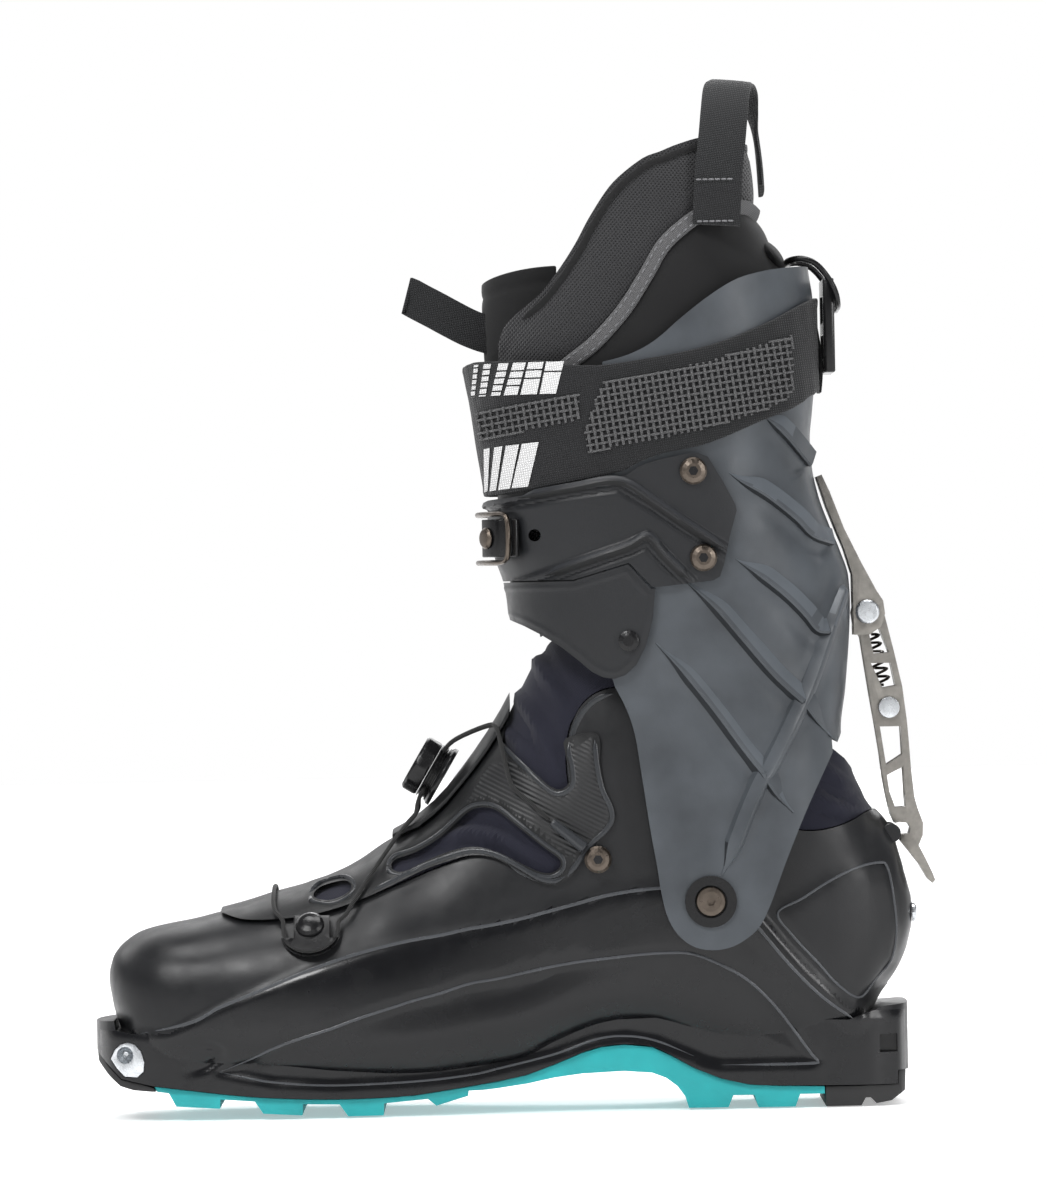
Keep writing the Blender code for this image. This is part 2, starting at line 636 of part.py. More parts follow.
# instep overlap: a moulded frame with windows, lying on the shell and the gaiter
overlap_x = stations(-99.6, 44.5)
overlap = tube_wall("instep_overlap", [foot_ring(x, 1.8, RING) for x in overlap_x],
                    [foot_ring(x, 0.55, RING) for x in overlap_x], "overlap_tpu")
OVER = [(-99.3, 73.6), (-92, 71.4), (-85, 71.0), (-76, 71.4), (-66, 72.6), (-55, 75.4), (-45, 79),
        (-36, 83),
        (-26, 87.6), (-16, 91), (-8, 92.8), (0, 91.6), (8, 87.2), (15, 83), (21, 81.6), (26, 83.4),
        (30, 88),
        (35.5, 95.6), (40.5, 99.6), (43.3, 104.5), (43, 109), (40, 116), (38.4, 125), (37.6, 135.4),
        (26.3, 134), (26, 129), (27.2, 122.5), (27.4, 118.6), (24.4, 115.8), (20, 117.2), (11, 125.5),
        (3.4, 133), (6.4, 146), (-30, 150), (-99.3, 120)]
keep(overlap, prism("region", OVER, -60, 60))
WINDOW_MID = [(-37.2, 88.4), (-33, 87.2), (-24, 91.2), (-14, 94.8), (-6, 95.6), (2, 93.3), (10, 89.2),
              (16, 86.4),
              (20.5, 86), (23.4, 88.2), (23, 91), (17, 95.6), (8, 103), (0.5, 108.8), (-5, 109.6),
              (-10, 107.6),
              (-19, 99.6), (-28, 94.2), (-36, 91.4)]
WINDOW_TOE = [(-65.6, 79.2), (-60, 77.8), (-53.6, 80.2), (-50.8, 84.6), (-53, 87.6), (-60, 86),
              (-64.2, 83.4)]
cut(overlap, prism("hole", WINDOW_MID, -60, 60))
cut(overlap, prism("hole", WINDOW_TOE, -60, 60))

# tongue guard: the stiff strip up the middle of the instep that carries the dial
guard_x = [-37, -32, -27, -22, -17, -12, -7, -2, 3, 6.4]
outer = []
inner = []
for x in guard_x:
    row_o = []
    row_i = []
    for j in range(11):
        u = (j - 5) / 5
        half = 14 if x < -30 else 17
        y = u * half
        n = table(N_UP, x)
        for store, d in ((row_o, 4.6), (row_i, 2.8)):
            w = table(HALF_W, x) + d
            zc = table(Z_WIDE, x)
            up = table(Z_TOP, x) + d - zc
            store.append((x, y, zc + up * (1 - abs(y / w) ** n) ** (1 / n)))
    outer.append(row_o)
    inner.append(row_i)
patch("tongue_guard", outer, inner, "overlap_tpu")


def on_axis(h):
    return Vector((DIAL_C[0], 0, DIAL_C[1])) + DIAL_N * h


# dial closure: base, spool and knurled knob on one axis
def guard_height():
    """Distance along the dial axis from its foot to clear the guard all round."""
    best = -50.0
    rot = frame_on(DIAL_N)
    for k in range(24):
        a = 2 * math.pi * k / 24
        for r in (0, 6, 11.6):
            p = Vector((DIAL_C[0], 0, DIAL_C[1])) + rot @ Vector((r * math.cos(a), r * math.sin(a), 0))
            for h in [i * 0.25 for i in range(-60, 60)]:
                q = p + DIAL_N * h
                if q.x > 6.4 or abs(q.y) > 17:
                    continue
                zc = table(Z_WIDE, q.x)
                w = table(HALF_W, q.x) + 4.6
                n = table(N_UP, q.x)
                top = zc + (table(Z_TOP, q.x) + 4.6 - zc) * (1 - abs(q.y / w) ** n) ** (1 / n)
                if q.z < top:
                    best = max(best, h)
    return best


H0 = guard_height() + 0.3
turned("dial_base", on_axis(H0), DIAL_N, [(11.4, 0), (11.4, 1.3), (10.4, 2.2), (2.0, 2.2)], "gloss_black",
       32)
turned("dial_spool", on_axis(H0 + 2.5), DIAL_N, [(7.6, 0), (7.6, 0.4), (5.5, 0.6), (5.5, 2.75), (7.6, 2.9),
                                                 (7.6, 3.2)],
       "dark_steel", 28)
rot = frame_on(DIAL_N)
verts = []
faces = []
KNOB = [(10.0, 3.5 + 2.5), (10.6, 4.3 + 2.5), (10.6, 8.6 + 2.5), (9.6, 9.6 + 2.5)]
KN = 40
for r, h in KNOB:
    for k in range(KN):
        a = 2 * math.pi * k / KN
        rr = r * (0.955 if (k % 4) in (1, 2) and r > 10.1 else 1.0)
        verts.append(on_axis(H0 + h) + rot @ Vector((rr * math.cos(a), rr * math.sin(a), 0)))
for i in range(len(KNOB) - 1):
    for k in range(KN):
        j = (k + 1) % KN
        faces.append((i * KN + k, i * KN + j, (i + 1) * KN + j, (i + 1) * KN + k))
faces.append(tuple(range(KN))[::-1])
faces.append(tuple(3 * KN + k for k in range(KN)))
finish("dial_knob", verts, faces, "gloss_black", False)

# lace guides, rear anchors and the three runs of lace
GUIDE = (-66.0, 66.0)
ANCHOR = (37.0, 90.5)
for label, side in (("medial", -1), ("lateral", 1)):
    n = foot_normal(GUIDE[0], GUIDE[1], side)
    c = foot_point(GUIDE[0], GUIDE[1], side, 0) + n * 1.1
    guide = turned("lace_guide_" + label, c, n, [(11.2, 0), (11.2, 0.75), (9.0, 0.75), (9.0, 3.05),
                                                 (11.0, 3.05),
                                                  (10.4, 3.7), (5.6, 3.9)], "gloss_black", 28)
    near, far = sorted((side * 20, side * 80))
    cut(guide, box("top", (GUIDE[0] - 14, near, GUIDE[1] + 6.4), (GUIDE[0] + 14, far, GUIDE[1] + 20)))
    cut(guide, box("top", (GUIDE[0] - 14, near, GUIDE[1] - 1.4), (GUIDE[0] - 6.4, far, GUIDE[1] + 20)))
    cut(guide, box("top", (GUIDE[0] + 6.4, near, GUIDE[1] - 1.4), (GUIDE[0] + 14, far, GUIDE[1] + 20)))
    turned("guide_rivet_" + label, c + n * 4.2, n, [(5.2, 0), (5.0, 0.7), (4.0, 1.5), (2.2, 2.1),
                                                    (0.5, 2.3)],
           "dark_steel", 24)
    n2 = foot_normal(ANCHOR[0], ANCHOR[1], side)
    c2 = foot_point(ANCHOR[0], ANCHOR[1], side, 0) + n2 * 2.2
    screw = turned("lace_anchor_" + label, c2, n2, [(4.0, 0), (4.9, 0.5), (4.9, 2.0), (4.0, 3.0),
                                                    (2.6, 3.4)],
                   "dark_steel", 20)
    cut(screw, turned("drive", c2 + n2 * 1.6, n2, [(1.5, 0), (1.5, 3)], None, 6))

def foot_top(x, y, d):
    """Point on top of the foot form over (X, Y), raised by d."""
    w = table(HALF_W, x) + d
    zc = table(Z_WIDE, x)
    n = table(N_UP, x)
    q = min(abs(y - table(Y_MID, x)) / w, 0.999)
    return Vector((x, y, zc + (table(Z_TOP, x) + d - zc) * (1 - q ** n) ** (1 / n)))


DOWN_SLOPE = Vector((-DIAL_N.z, 0, DIAL_N.x))
LACE_H = H0 + 4.15
half = [on_axis(LACE_H) + Vector((0, -6.8, 0)), on_axis(LACE_H) + DOWN_SLOPE * 6 + Vector((0, -7.0, 0)),
        on_axis(LACE_H) + DOWN_SLOPE * 12.5 + Vector((0, -8.0, 0))]
half += [foot_top(x, y, d) for x, y, d in ((-27.5, -11.5, 6.6), (-33.5, -17.5, 5.4), (-40, -26, 3.6))]
half += [foot_point(x, z, -1, 3.3) for x, z in ((-46, 84.5), (-51, 77.0), (-54.4, 71.2))]
n = foot_normal(GUIDE[0], GUIDE[1], -1)
c = foot_point(GUIDE[0], GUIDE[1], -1, 0) + n * 3.0
rotg = frame_on(n)
loop = []
for k in range(9):
    a = math.radians(22 - k * (224 / 8))
    loop.append(c + rotg @ Vector((10.25 * math.cos(a), 10.25 * math.sin(a), 0)))
if loop[0].x < loop[-1].x:
    loop = loop[::-1]
over = [Vector((-78.6, -foot_y(-78.6, 72.5, 3.4), 72.5))]
over_top = [foot_top(-80.0, y, 3.4) for y in (-30, -22, -11, -1.5)]


def other_side(points):
    return [Vector((p.x, 2 * table(Y_MID, p.x) - p.y, p.z)) for p in points]


medial_run = half + loop + over + over_top[:3]
lateral_run = other_side(medial_run)[::-1]
full = medial_run + [over_top[3]] + lateral_run
sweep("lace_front", resample(full, 4.4), round_section(LACE_R, 6), "lace_black")

REAR = [(6.2, 118.0), (10, 114), (15, 109.4), (20, 104.9)]
for label, side in (("medial", -1), ("lateral", 1)):
    run = [on_axis(LACE_H) + DOWN_SLOPE * -5.6 + Vector((0, side * 3.6, 0)),
           on_axis(LACE_H) + DOWN_SLOPE * -12.5 + Vector((0, side * 7.0, 0)),
           foot_top(-1.0, side * 13, 8.0), foot_top(2.0, side * 21, 6.2)]
    run += [foot_point(x, z, side, 3.9) for x, z in REAR]
    sweep("lace_rear_" + label, resample(run, 4.0), round_section(LACE_R, 6), "lace_black")
    a = foot_point(20.6, 104.3, side, 4.4)
    b = foot_point(32.2, 94.8, side, 4.6)
    axis = (b - a).normalized()
    length = (b - a).length
    turned("lace_sleeve_" + label, a + axis * 0.2, axis, [(1.5, 0), (1.7, 0.8), (2.0, length * 0.6),
                                                          (2.2, length - 0.4),
                                              (1.8, length)], "dark_steel", 14)

# ---- cuff ----
CUFF_SIDE = [(44.2, 152.2), (48, 144.5), (51, 135), (53.2, 120), (56, 100), (58, 88), (59.4, 78),
             (61.4, 69.6),
             (65, 63.2), (70.4, 58.9), (77, 57.4), (84, 58.4), (90, 61.6), (94.6, 66), (98.6, 74),
             (104, 88),
             (109, 100), (113, 109), (118.4, 120), (122.5, 128), (126.4, 135), (140, 137), (140, 300),
             (118.2, 302.4), (110, 301.6), (100, 300), (90, 297), (80, 291), (70, 283.4), (63, 277.4),
             (57, 273.4), (50, 270.4), (42, 268.4), (41, 262), (42, 160)]
cuff_z = [52, 70, 90, 110, 125, 140, 152, 163, 174, 184, 193, 202, 212, 224, 238, 252, 268, 288, 306]


def shaft_ring(z, d, count):
    return [tuple(shaft_point(2 * math.pi * k / count, z, d)) for k in range(count)]


cuff = tube_wall("cuff_shell", [shaft_ring(z, 0, 40) for z in cuff_z],
                 [shaft_ring(z, -CUFF_WALL, 40) for z in cuff_z], "cuff_plastic")
keep(cuff, prism("side", CUFF_SIDE, -80, 80))
for side in (-1, 1):
    a, b = sorted((side * 40, side * 60))
    cut(cuff, turned("bore", (PIVOT[0], a, PIVOT[1]), (0, 1, 0), [(6.3, 0), (6.3, 20)], None, 32))
cut(cuff, turned("sweep", (PIVOT[0], -35, PIVOT[1]), (0, 1, 0), [(73.0, 0), (73.0, 70)], None, 60))
# pivots: washer, bolt
for label, side in (("medial", -1), ("lateral", 1)):
    axis = (0, side, 0)
    washer("pivot_washer_" + label, (PIVOT[0], side * ARM_HALF_WIDTH, PIVOT[1]), axis, 5.9, 9.3, 0.3, 1.1,
           "gloss_black")
    bolt = turned("pivot_bolt_" + label, (PIVOT[0], side * 44.95, PIVOT[1]), axis,
                  [(5.4, 0), (5.4, 4.2), (5.0, 4.7), (3.6, 4.9)], "dark_steel", 24)
    cut(bolt, turned("drive", (PIVOT[0], side * 48.0, PIVOT[1]), axis, [(1.6, 0), (1.6, 4)], None, 6))

# flaps
FLAP_UP = [(-4, 214), (-1.8, 219.2), (0, 220.0), (10, 221), (20, 222.6), (30, 224.4), (46, 226.6),
           (50, 228), (54, 230.8),
           (60, 232.8), (70, 234.8), (75.4, 235.2), (78.8, 233.8), (84, 225), (88.4, 216.6), (88.8, 214.4),
           (86, 204.6),
           (84, 195.6), (82.4, 191), (80, 189.6), (70, 188.6), (60, 187.6), (58, 187.8), (50, 196.5),
           (30, 190.8), (5, 190.8), (-4, 190.8)]
FLAP_LOW = [(0, 190.3), (5, 177.0), (7, 176.8), (12, 174.6), (18, 171.4), (25, 167), (31, 162.2),
            (36, 157.8), (40, 155.7),
            (44, 155.1), (48, 156.4), (52, 160), (55.6, 167), (58, 176), (59.2, 187.0), (57.6, 187.0),
            (49.6, 195.9), (30, 190.3)]
up_z = [187, 192, 198, 204, 210, 216, 222, 229, 236]
low_z = [154.5, 159, 164, 170, 176, 182, 188, 192, 197]
for label, side in (("medial", -1), ("lateral", 1)):
    for name, zs, line, gap in (("flap_upper_", up_z, FLAP_UP, 7.0), ("flap_lower_", low_z, FLAP_LOW, 5.0)):
        outer = []
        inner = []
        for z in zs:
            span = [side * math.radians(a) for a in steps(52, 179.9, 16)]
            outer.append([tuple(shaft_point(a, z, 0.35 + FLAP_T)) for a in span])
            inner.append([tuple(shaft_point(a, z, 0.35)) for a in span])
        flap = patch(name + label, outer, inner, "flap_plastic")
        keep(flap, prism("side", line, *sorted((side * gap, side * 80))))


def surface_screw(name, x, z, side, lift, r, kind, drive=True, dome=2.0):
    a = shaft_angle(x, z, lift, side)
    c = shaft_point(a, z, lift)
    n = shaft_normal(a, z)
    obj = turned(name, c, n, [(r, 0), (r, 0.6), (r * 0.86, dome * 0.7), (r * 0.55, dome), (r * 0.3, dome)],
                 kind, 18)
    if drive:
        cut(obj, turned("drive", c + n * 0.9, n, [(r * 0.3, 0), (r * 0.3, 3)], None, 6))
    return obj


for label, side in (("medial", -1), ("lateral", 1)):
    surface_screw("flap_screw_top_" + label, 73.5, 228.8, side, 3.35, 4.9, "dark_steel")
    surface_screw("flap_screw_low_" + label, 76.6, 197.8, side, 3.35, 4.9, "dark_steel")
    surface_screw("flap_rivet_" + label, 49.4, 168.6, side, 3.35, 3.7, "gloss_black", False, 1.2)

# ---- front buckle: catch on the inner flap, lever and wire bail on the outer flap ----
ca = shaft_angle(6.6, BAIL_Z, 3.1, -1)
catch_foot = shaft_point(ca, BAIL_Z, 3.3)
catch_n = shaft_normal(ca, BAIL_Z)
catch_t = Vector((-catch_n.y, catch_n.x, 0))
if catch_t.y < 0:
    catch_t = -catch_t
# profile in (tangent, out): towards the front the block is tall, its heel is a ramp for the wire
PROFILE = [(-9.5, 0.2), (-9.5, 1.6), (-4.6, 1.6), (-1.6, 4.0), (-1.2, 5.2), (1.5, 6.2), (8.4, 5.4),
           (9.6, 3.2), (9.6, 0.9), (6.0, 0.2)]
top = [catch_foot + catch_t * t + catch_n * o for t, o in PROFILE]
plan_prism("buckle_catch", [tuple(p.xy) for p in top], BAIL_Z - 6.8, BAIL_Z + 6.8, "gloss_black")
screw_c = catch_foot + catch_n * 6.4 + catch_t * 3.2
turned("catch_screw", screw_c, catch_n, [(3.9, 0), (3.9, 0.5), (3.0, 1.4), (1.4, 1.6)], "dark_steel", 24)


def around(angle_from, angle_to, n, d0, d1):
    """Offsets along the shaft form at the buckle's height, lateral side positive."""
    return [(shaft_point(a, BAIL_Z, d0), shaft_point(a, BAIL_Z, d1)) for a in steps(angle_from, angle_to,
                                                                                    n)]


def lateral_angle(x, d):
    return shaft_angle(x, BAIL_Z, d, 1)


HINGE_A = shaft_point(lateral_angle(8.0, 8.8), BAIL_Z, 8.8)
HINGE_B = shaft_point(lateral_angle(15.0, 8.9), BAIL_Z, 8.9)

strip = around(lateral_angle(2.5, 4), lateral_angle(30, 4), 10, 4.2, 5.6)
outline = [tuple(p[1].xy) for p in strip] + [tuple(p[0].xy) for p in strip[::-1]]
base = plan_prism("buckle_base", outline, BAIL_Z - 6.6, BAIL_Z + 6.6, "gloss_black")
na = shaft_normal(lateral_angle(8.0, 8.8), BAIL_Z)
ta = Vector((-na.y, na.x, 0))
for zlo, zhi in ((-6.6, -5.2), (5.2, 6.6)):
    foot = HINGE_A - na * 3.6
    lug = [foot - ta * 3.4, foot + ta * 3.4]
    for k in range(9):
        a = math.pi * k / 8
        lug.append(HINGE_A + ta * 3.0 * math.cos(a) + na * 3.0 * math.sin(a))
    join(base, plan_prism("lug", [tuple(p.xy) for p in lug], BAIL_Z + zlo, BAIL_Z + zhi))
cut(base, turned("bore", (HINGE_A.x, HINGE_A.y, BAIL_Z - 9), (0, 0, 1), [(1.55, 0), (1.55, 18)], None, 20))

strip = around(lateral_angle(12.6, 8.8), lateral_angle(56, 8.8), 15, 7.4, 10.2)
outline = [tuple(p[1].xy) for p in strip] + [tuple(p[0].xy) for p in strip[::-1]]
lever = plan_prism("buckle_lever", outline, BAIL_Z - 6.5, BAIL_Z + 6.5, "dark_steel")
centre_dir = (HINGE_B - HINGE_A).normalized()
across = Vector((-centre_dir.y, centre_dir.x, 0))
neck = []
for k in range(9):
    a = math.radians(90 + 180 * k / 8)
    neck.append(HINGE_A + centre_dir * 2.6 * math.cos(a) + across * 2.6 * math.sin(a))
reach = (HINGE_B - HINGE_A).length
neck += [HINGE_A + centre_dir * reach - across * 1.1, HINGE_A + centre_dir * reach + across * 1.1]
join(lever, plan_prism("neck", [tuple(p.xy) for p in neck], BAIL_Z - 4.6, BAIL_Z + 4.6))
cut(lever, turned("bore", (HINGE_A.x, HINGE_A.y, BAIL_Z - 9), (0, 0, 1), [(1.55, 0), (1.55, 18)], None, 20))
slot = around(lateral_angle(24, 8.8), lateral_angle(46, 8.8), 10, 4.0, 13.0)
outline = [tuple(p[1].xy) for p in slot] + [tuple(p[0].xy) for p in slot[::-1]]
cut(lever, plan_prism("slot", outline, BAIL_Z - 2.6, BAIL_Z + 2.6))
turned("buckle_pin", (HINGE_A.x, HINGE_A.y, BAIL_Z - 7.1), (0, 0, 1), [(1.3, 0), (1.3, 14.2)], "steel", 18)

end_bar = catch_foot + catch_n * 3.0 + catch_t * -6.6
leg = [Vector((HINGE_B.x, HINGE_B.y, BAIL_Z + 7.9)), Vector((HINGE_B.x, HINGE_B.y,
                                                             BAIL_Z + BAIL_HALF_HEIGHT))]
a_from = lateral_angle(9.0, 8.8)
a_to = 2 * math.pi + shaft_angle(5.6, BAIL_Z, 5.5, -1)
for i, a in enumerate(steps(a_from, a_to, 12)):
    p = shaft_point(a, BAIL_Z, 8.8 - 3.0 * i / 11)
    leg.append(Vector((p.x, p.y, BAIL_Z + BAIL_HALF_HEIGHT)))
leg.append(Vector((end_bar.x, end_bar.y, BAIL_Z + BAIL_HALF_HEIGHT - 1.0)))
low = [Vector((p.x, p.y, 2 * BAIL_Z - p.z)) for p in leg[::-1]]
bail_path = resample(leg, 5.2) + resample(low, 5.2)
sweep("wire_bail", bail_path, round_section(BAIL_R, 6), "dark_steel")

# ---- power strap and its rear buckle ----
STRAP_TOP = [(-9, 267), (0, 269.8), (20, 269.5), (28, 268), (40, 267.2), (60, 269.5), (80, 273.5),
             (100, 281), (115, 289), (121, 292)]
STRAP_LOW = [(-9, 221.6), (0, 221.8), (10, 222.8), (20, 224.4), (30, 226.2), (46, 229.2), (54, 232.8),
             (60, 234.8),
             (70, 236.8), (76, 237.9), (84, 240.4), (100, 247), (110, 251), (117, 256), (121, 258)]
rows_out = []
rows_in = []
for a in steps(math.radians(15), math.radians(345), 38):
    x = shaft_point(a, 255, 1).x
    lo = table(STRAP_LOW, x)
    hi = table(STRAP_TOP, x)
    rows_out.append([tuple(shaft_point(a, z, 2.3)) for z in steps(lo, hi, 3)])
    rows_in.append([tuple(shaft_point(a, z, 0.45)) for z in steps(lo, hi, 3)])
patch("power_strap", rows_out, rows_in, "webbing")
frame = box("strap_buckle", (122.2, -20, 264), (126.2, 20, 298), "gloss_black")
cut(frame, box("window", (110, -14, 282), (140, 14, 292)))
cut(frame, box("window", (110, -14, 269), (140, 14, 278)))
hook_half = [(127.6, 0, 287), (127.6, 12, 287), (127.6, 20, 288.4), (126.8, 22.2, 293), (124, 22.4, 298.4),
             (119.8, 22.4, 303.6),
             (114.5, 22.4, 305.4), (110.4, 20.5, 304.6), (109.8, 12, 304.4), (109.8, 0, 304.4)]
hook = [Vector(p) for p in hook_half] + [Vector((x, -y, z)) for x, y, z in hook_half[-2:0:-1]]
sweep("strap_hook", hook, round_section(1.2), "steel", closed=True)

# ---- walk and ski lock on the back of the cuff ----
PLATE = [(118.9, 226.5), (120.8, 227.2), (123.6, 221), (128.6, 207.5), (134.6, 195), (139.8, 185),
         (142.2, 181.2),
         (142.8, 176.5), (141.2, 171.8), (137.2, 169), (131.4, 169), (131.2, 190.8), (128.4, 200.2),
         (125.9, 206.4),
         (122.4, 215.4)]
plate = prism("lock_plate", PLATE, -10.6, 10.6, "lever_alloy")
cut(plate, prism("slot", [(120, 160), (150, 160), (150, 184.6), (120, 184.6)], -8.5, 8.5))
cut(plate, turned("bore", (LOCK_BOLT[0], -20, LOCK_BOLT[1]), (0, 1, 0), [(3.5, 0), (3.5, 40)], None, 28))
LEVER = [(131.6, 180.6), (133.4, 182.6), (136.4, 183.3), (139.6, 182.4), (141.8, 179.6), (142.8, 175.6),
         (146, 162), (148.6, 150),
         (150, 138), (150.6, 130), (151.2, 120), (152.2, 110), (153.2, 106), (155.2, 100.5), (155, 96),
         (153.4, 92.4),
         (155.6, 88), (158.2, 82.4), (159.2, 79.8), (158.2, 78.6), (156.6, 80), (153.4, 85.6),
         (149.6, 90.6),
         (146.8, 94.2), (147.4, 96.4), (150.0, 96.6), (150.6, 98.8), (149.6, 100.6), (146.6, 100.9),
         (145.0, 100.6),
         (143.6, 103.6), (142.2, 110), (141, 117), (140, 126), (138.4, 137), (136.8, 147), (135.2, 158),
         (133.8, 168),
         (131.4, 172.4), (130.8, 177)]
lock_lever = prism("lock_lever", LEVER, -8.2, 8.2, "lever_alloy")
cut(lock_lever, prism("channel", [(120, 172), (140.6, 172), (144, 162), (146.4, 150), (147.8, 138),
                                  (148.4, 130),
                                  (149, 120), (149.6, 112), (148, 105), (142, 106.4), (120, 112)], -6.4,
                      6.4))
for window in ([(136.6, 171), (140.8, 171), (144.0, 162.4), (138.4, 162)],
               [(137.4, 158.6), (144.6, 158.6), (146.2, 150.4), (141.4, 149.6)],
               [(140.2, 135.6), (147.8, 135.6), (148.2, 125.4), (142.2, 121.6)],
               [(142.4, 118), (148.4, 121), (149, 106.4), (145.2, 106.2), (143.2, 112)]):
    cut(lock_lever, prism("window", window, -20, 20))
cut(lock_lever, turned("bore", (LOCK_BOLT[0], -20, LOCK_BOLT[1]), (0, 1, 0), [(3.5, 0), (3.5, 40)], None,
                       28))
RIVET = (143.6, 142.5)
cut(lock_lever, turned("bore", (RIVET[0], -20, RIVET[1]), (0, 1, 0), [(2.7, 0), (2.7, 40)], None, 24))
turned("lock_bolt", (LOCK_BOLT[0], -12.6, LOCK_BOLT[1]), (0, 1, 0),
       [(3.6, 0), (4.3, 0.5), (4.3, 1.7), (3.2, 1.7), (3.2, 23.5), (4.3, 23.5), (4.3, 24.7), (3.6, 25.2)],
       "steel", 28)
turned("lock_rivet", (RIVET[0], -9.6, RIVET[1]), (0, 1, 0),
       [(3.7, 0), (3.9, 0.3), (3.9, 1.1), (2.4, 1.1), (2.4, 18.1), (3.9, 18.1), (3.9, 18.9), (3.7, 19.2)],
       "steel", 28)
S0 = Vector((138.2, 0, 169.0))
S1 = Vector((142.2, 0, 150.6))
rot = frame_on(S1 - S0)
coil = []
for k in range(6 * 8 + 1):
    a = 2 * math.pi * k / 8
    coil.append(S0 + (S1 - S0) * (k / 48) + rot @ Vector((2.5 * math.cos(a), 2.5 * math.sin(a), 0)))
sweep("lever_spring", coil, round_section(0.55, 5), "steel")

# ---- liner shaft, tongue and pull loops ----
LINER_BACK = [(x, v - 4.8) for x, v in X_BACK if x < 280]
LINER_BACK += [(285, 114), (295, 111.6), (302, 108), (309, 104), (317, 101), (326, 98.6), (350, 96.5)]
LINER_B = [(z, v - 4.8) for z, v in HALF_B if z < 300] + [(300, 48.4), (320, 46), (350, 43)]


def liner_point(angle, z, d):
    u = math.cos(angle)
    v = math.sin(angle)
    n = table(N_SHAFT, z)
    s = (abs(u) ** n + abs(v) ** n) ** (-1 / n)
    xm = table(X_MID, z)
    reach = (table(LINER_BACK, z) - xm + d) if u >= 0 else (xm - table(X_FRONT, z) - 4.0 + d)
    return Vector((xm + reach * u * s, (table(LINER_B, z) + d) * v * s, z))


def liner_ring(z, d, count=24):
    return [tuple(liner_point(2 * math.pi * k / count, z, d)) for k in range(count)]


LINER_SIDE = [(4.8, 268), (4.8, 276), (7, 282), (12, 287), (20, 293.4), (27, 302), (33, 311), (38, 320),
              (44.6, 330), (50, 335.6),
              (58, 341.4), (64, 343.6), (70, 346), (79, 348.6), (88, 349), (94, 347), (140, 347),
              (140, 131.5),
              (124.6, 131.5), (111.7, 140.1), (103, 146.2), (96.5, 152.9), (89, 160.5), (80.5, 175.2),
              (69.2, 187),
              (53.6, 184.8), (38.5, 180.5), (20.7, 172.2), (7.7, 163.5), (-20, 150), (-20, 267.8)]
liner_z = [128, 150, 174, 190, 201, 212, 225, 245, 275, 292, 302, 312, 325, 350]
shaft = tube_wall("liner_shaft", [liner_ring(z, 0) for z in liner_z],
                  [liner_ring(z, -5.5) for z in liner_z], "liner_mesh")
keep(shaft, prism("side", LINER_SIDE, -80, 80))
cut(shaft, box("slot", (-31, -25.6, 141), (22, 25.4, 331)))

TONGUE_FRONT = [(190, 12.4), (210, 8.2), (230, 5.0), (255, 1.6), (270, -0.4), (284, -0.9), (296, -1.0),
                (306, 0.0)]
outer = []
inner = []
for a in [math.radians(t) for t in steps(-86, 86, 15)]:
    top_z = 298.6 + 5.6 * abs(math.sin(a)) ** 1.4
    row_o = []
    row_i = []
    for z in steps(191, top_z, 7):
        xt = table(TONGUE_FRONT, z)
        row_o.append((28 - (28 - xt) * math.cos(a), 23 * math.sin(a), z))
        row_i.append((28 - (24 - xt) * math.cos(a), 19 * math.sin(a), z))
    outer.append(row_o)
    inner.append(row_i)
patch("liner_tongue", outer, inner, "liner_mesh")


def ribbon(width, thick):
    return [(-width / 2, -thick / 2), (width / 2, -thick / 2), (width / 2, thick / 2),
            (-width / 2, thick / 2)]


pull = [(-5.8, -4.5, 281.6), (-10, -5.0, 284.0), (-16, -5.2, 287.4), (-22, -5.2, 290.8),
        (-27.6, -5.0, 294.2)]
sweep("tongue_loop", pull, ribbon(14.4, 2.4), "webbing", (0, -1, 0))


def liner_half_width(x, z):
    """Half width of the liner's outer face at (X, Z)."""
    angles = [math.radians(t * 0.5) for t in range(20, 240)]
    nearest = min(angles, key=lambda a: abs(liner_point(a, z, 0).x - x))
    return liner_point(nearest, z, 0).y


# the loop's front foot lies flat on the outside of the liner, its whole width clear of it
front = []
for x, z in ((83.6, 316.6), (84.2, 326), (85.0, 336)):
    y = max(liner_half_width(x + 8, z), liner_half_width(x - 8, z))
    front.append((x, -(y + 1.3), z))
arch = front + [(86.4, -43, 348), (87.6, -36, 358.5), (88.8, -25, 366.4), (90.6, -13, 369.2),
                (93.4, -2, 367.6),
                (97.0, 5, 362), (99.6, 9, 352), (100.9, 9, 341), (101.4, 7, 331)]
ups = [(0, -1, 0)] * 4 + [(0, -0.8, 0.6), (0, -0.4, 0.9), (0.1, 0, 1), (0.4, 0.1, 0.9), (0.8, 0.1, 0.6),
                          (1, 0, 0.2), (1, 0, 0),
                          (1, 0, 0)]
sweep("liner_loop", arch, ribbon(17, 1.6), "webbing", ups)

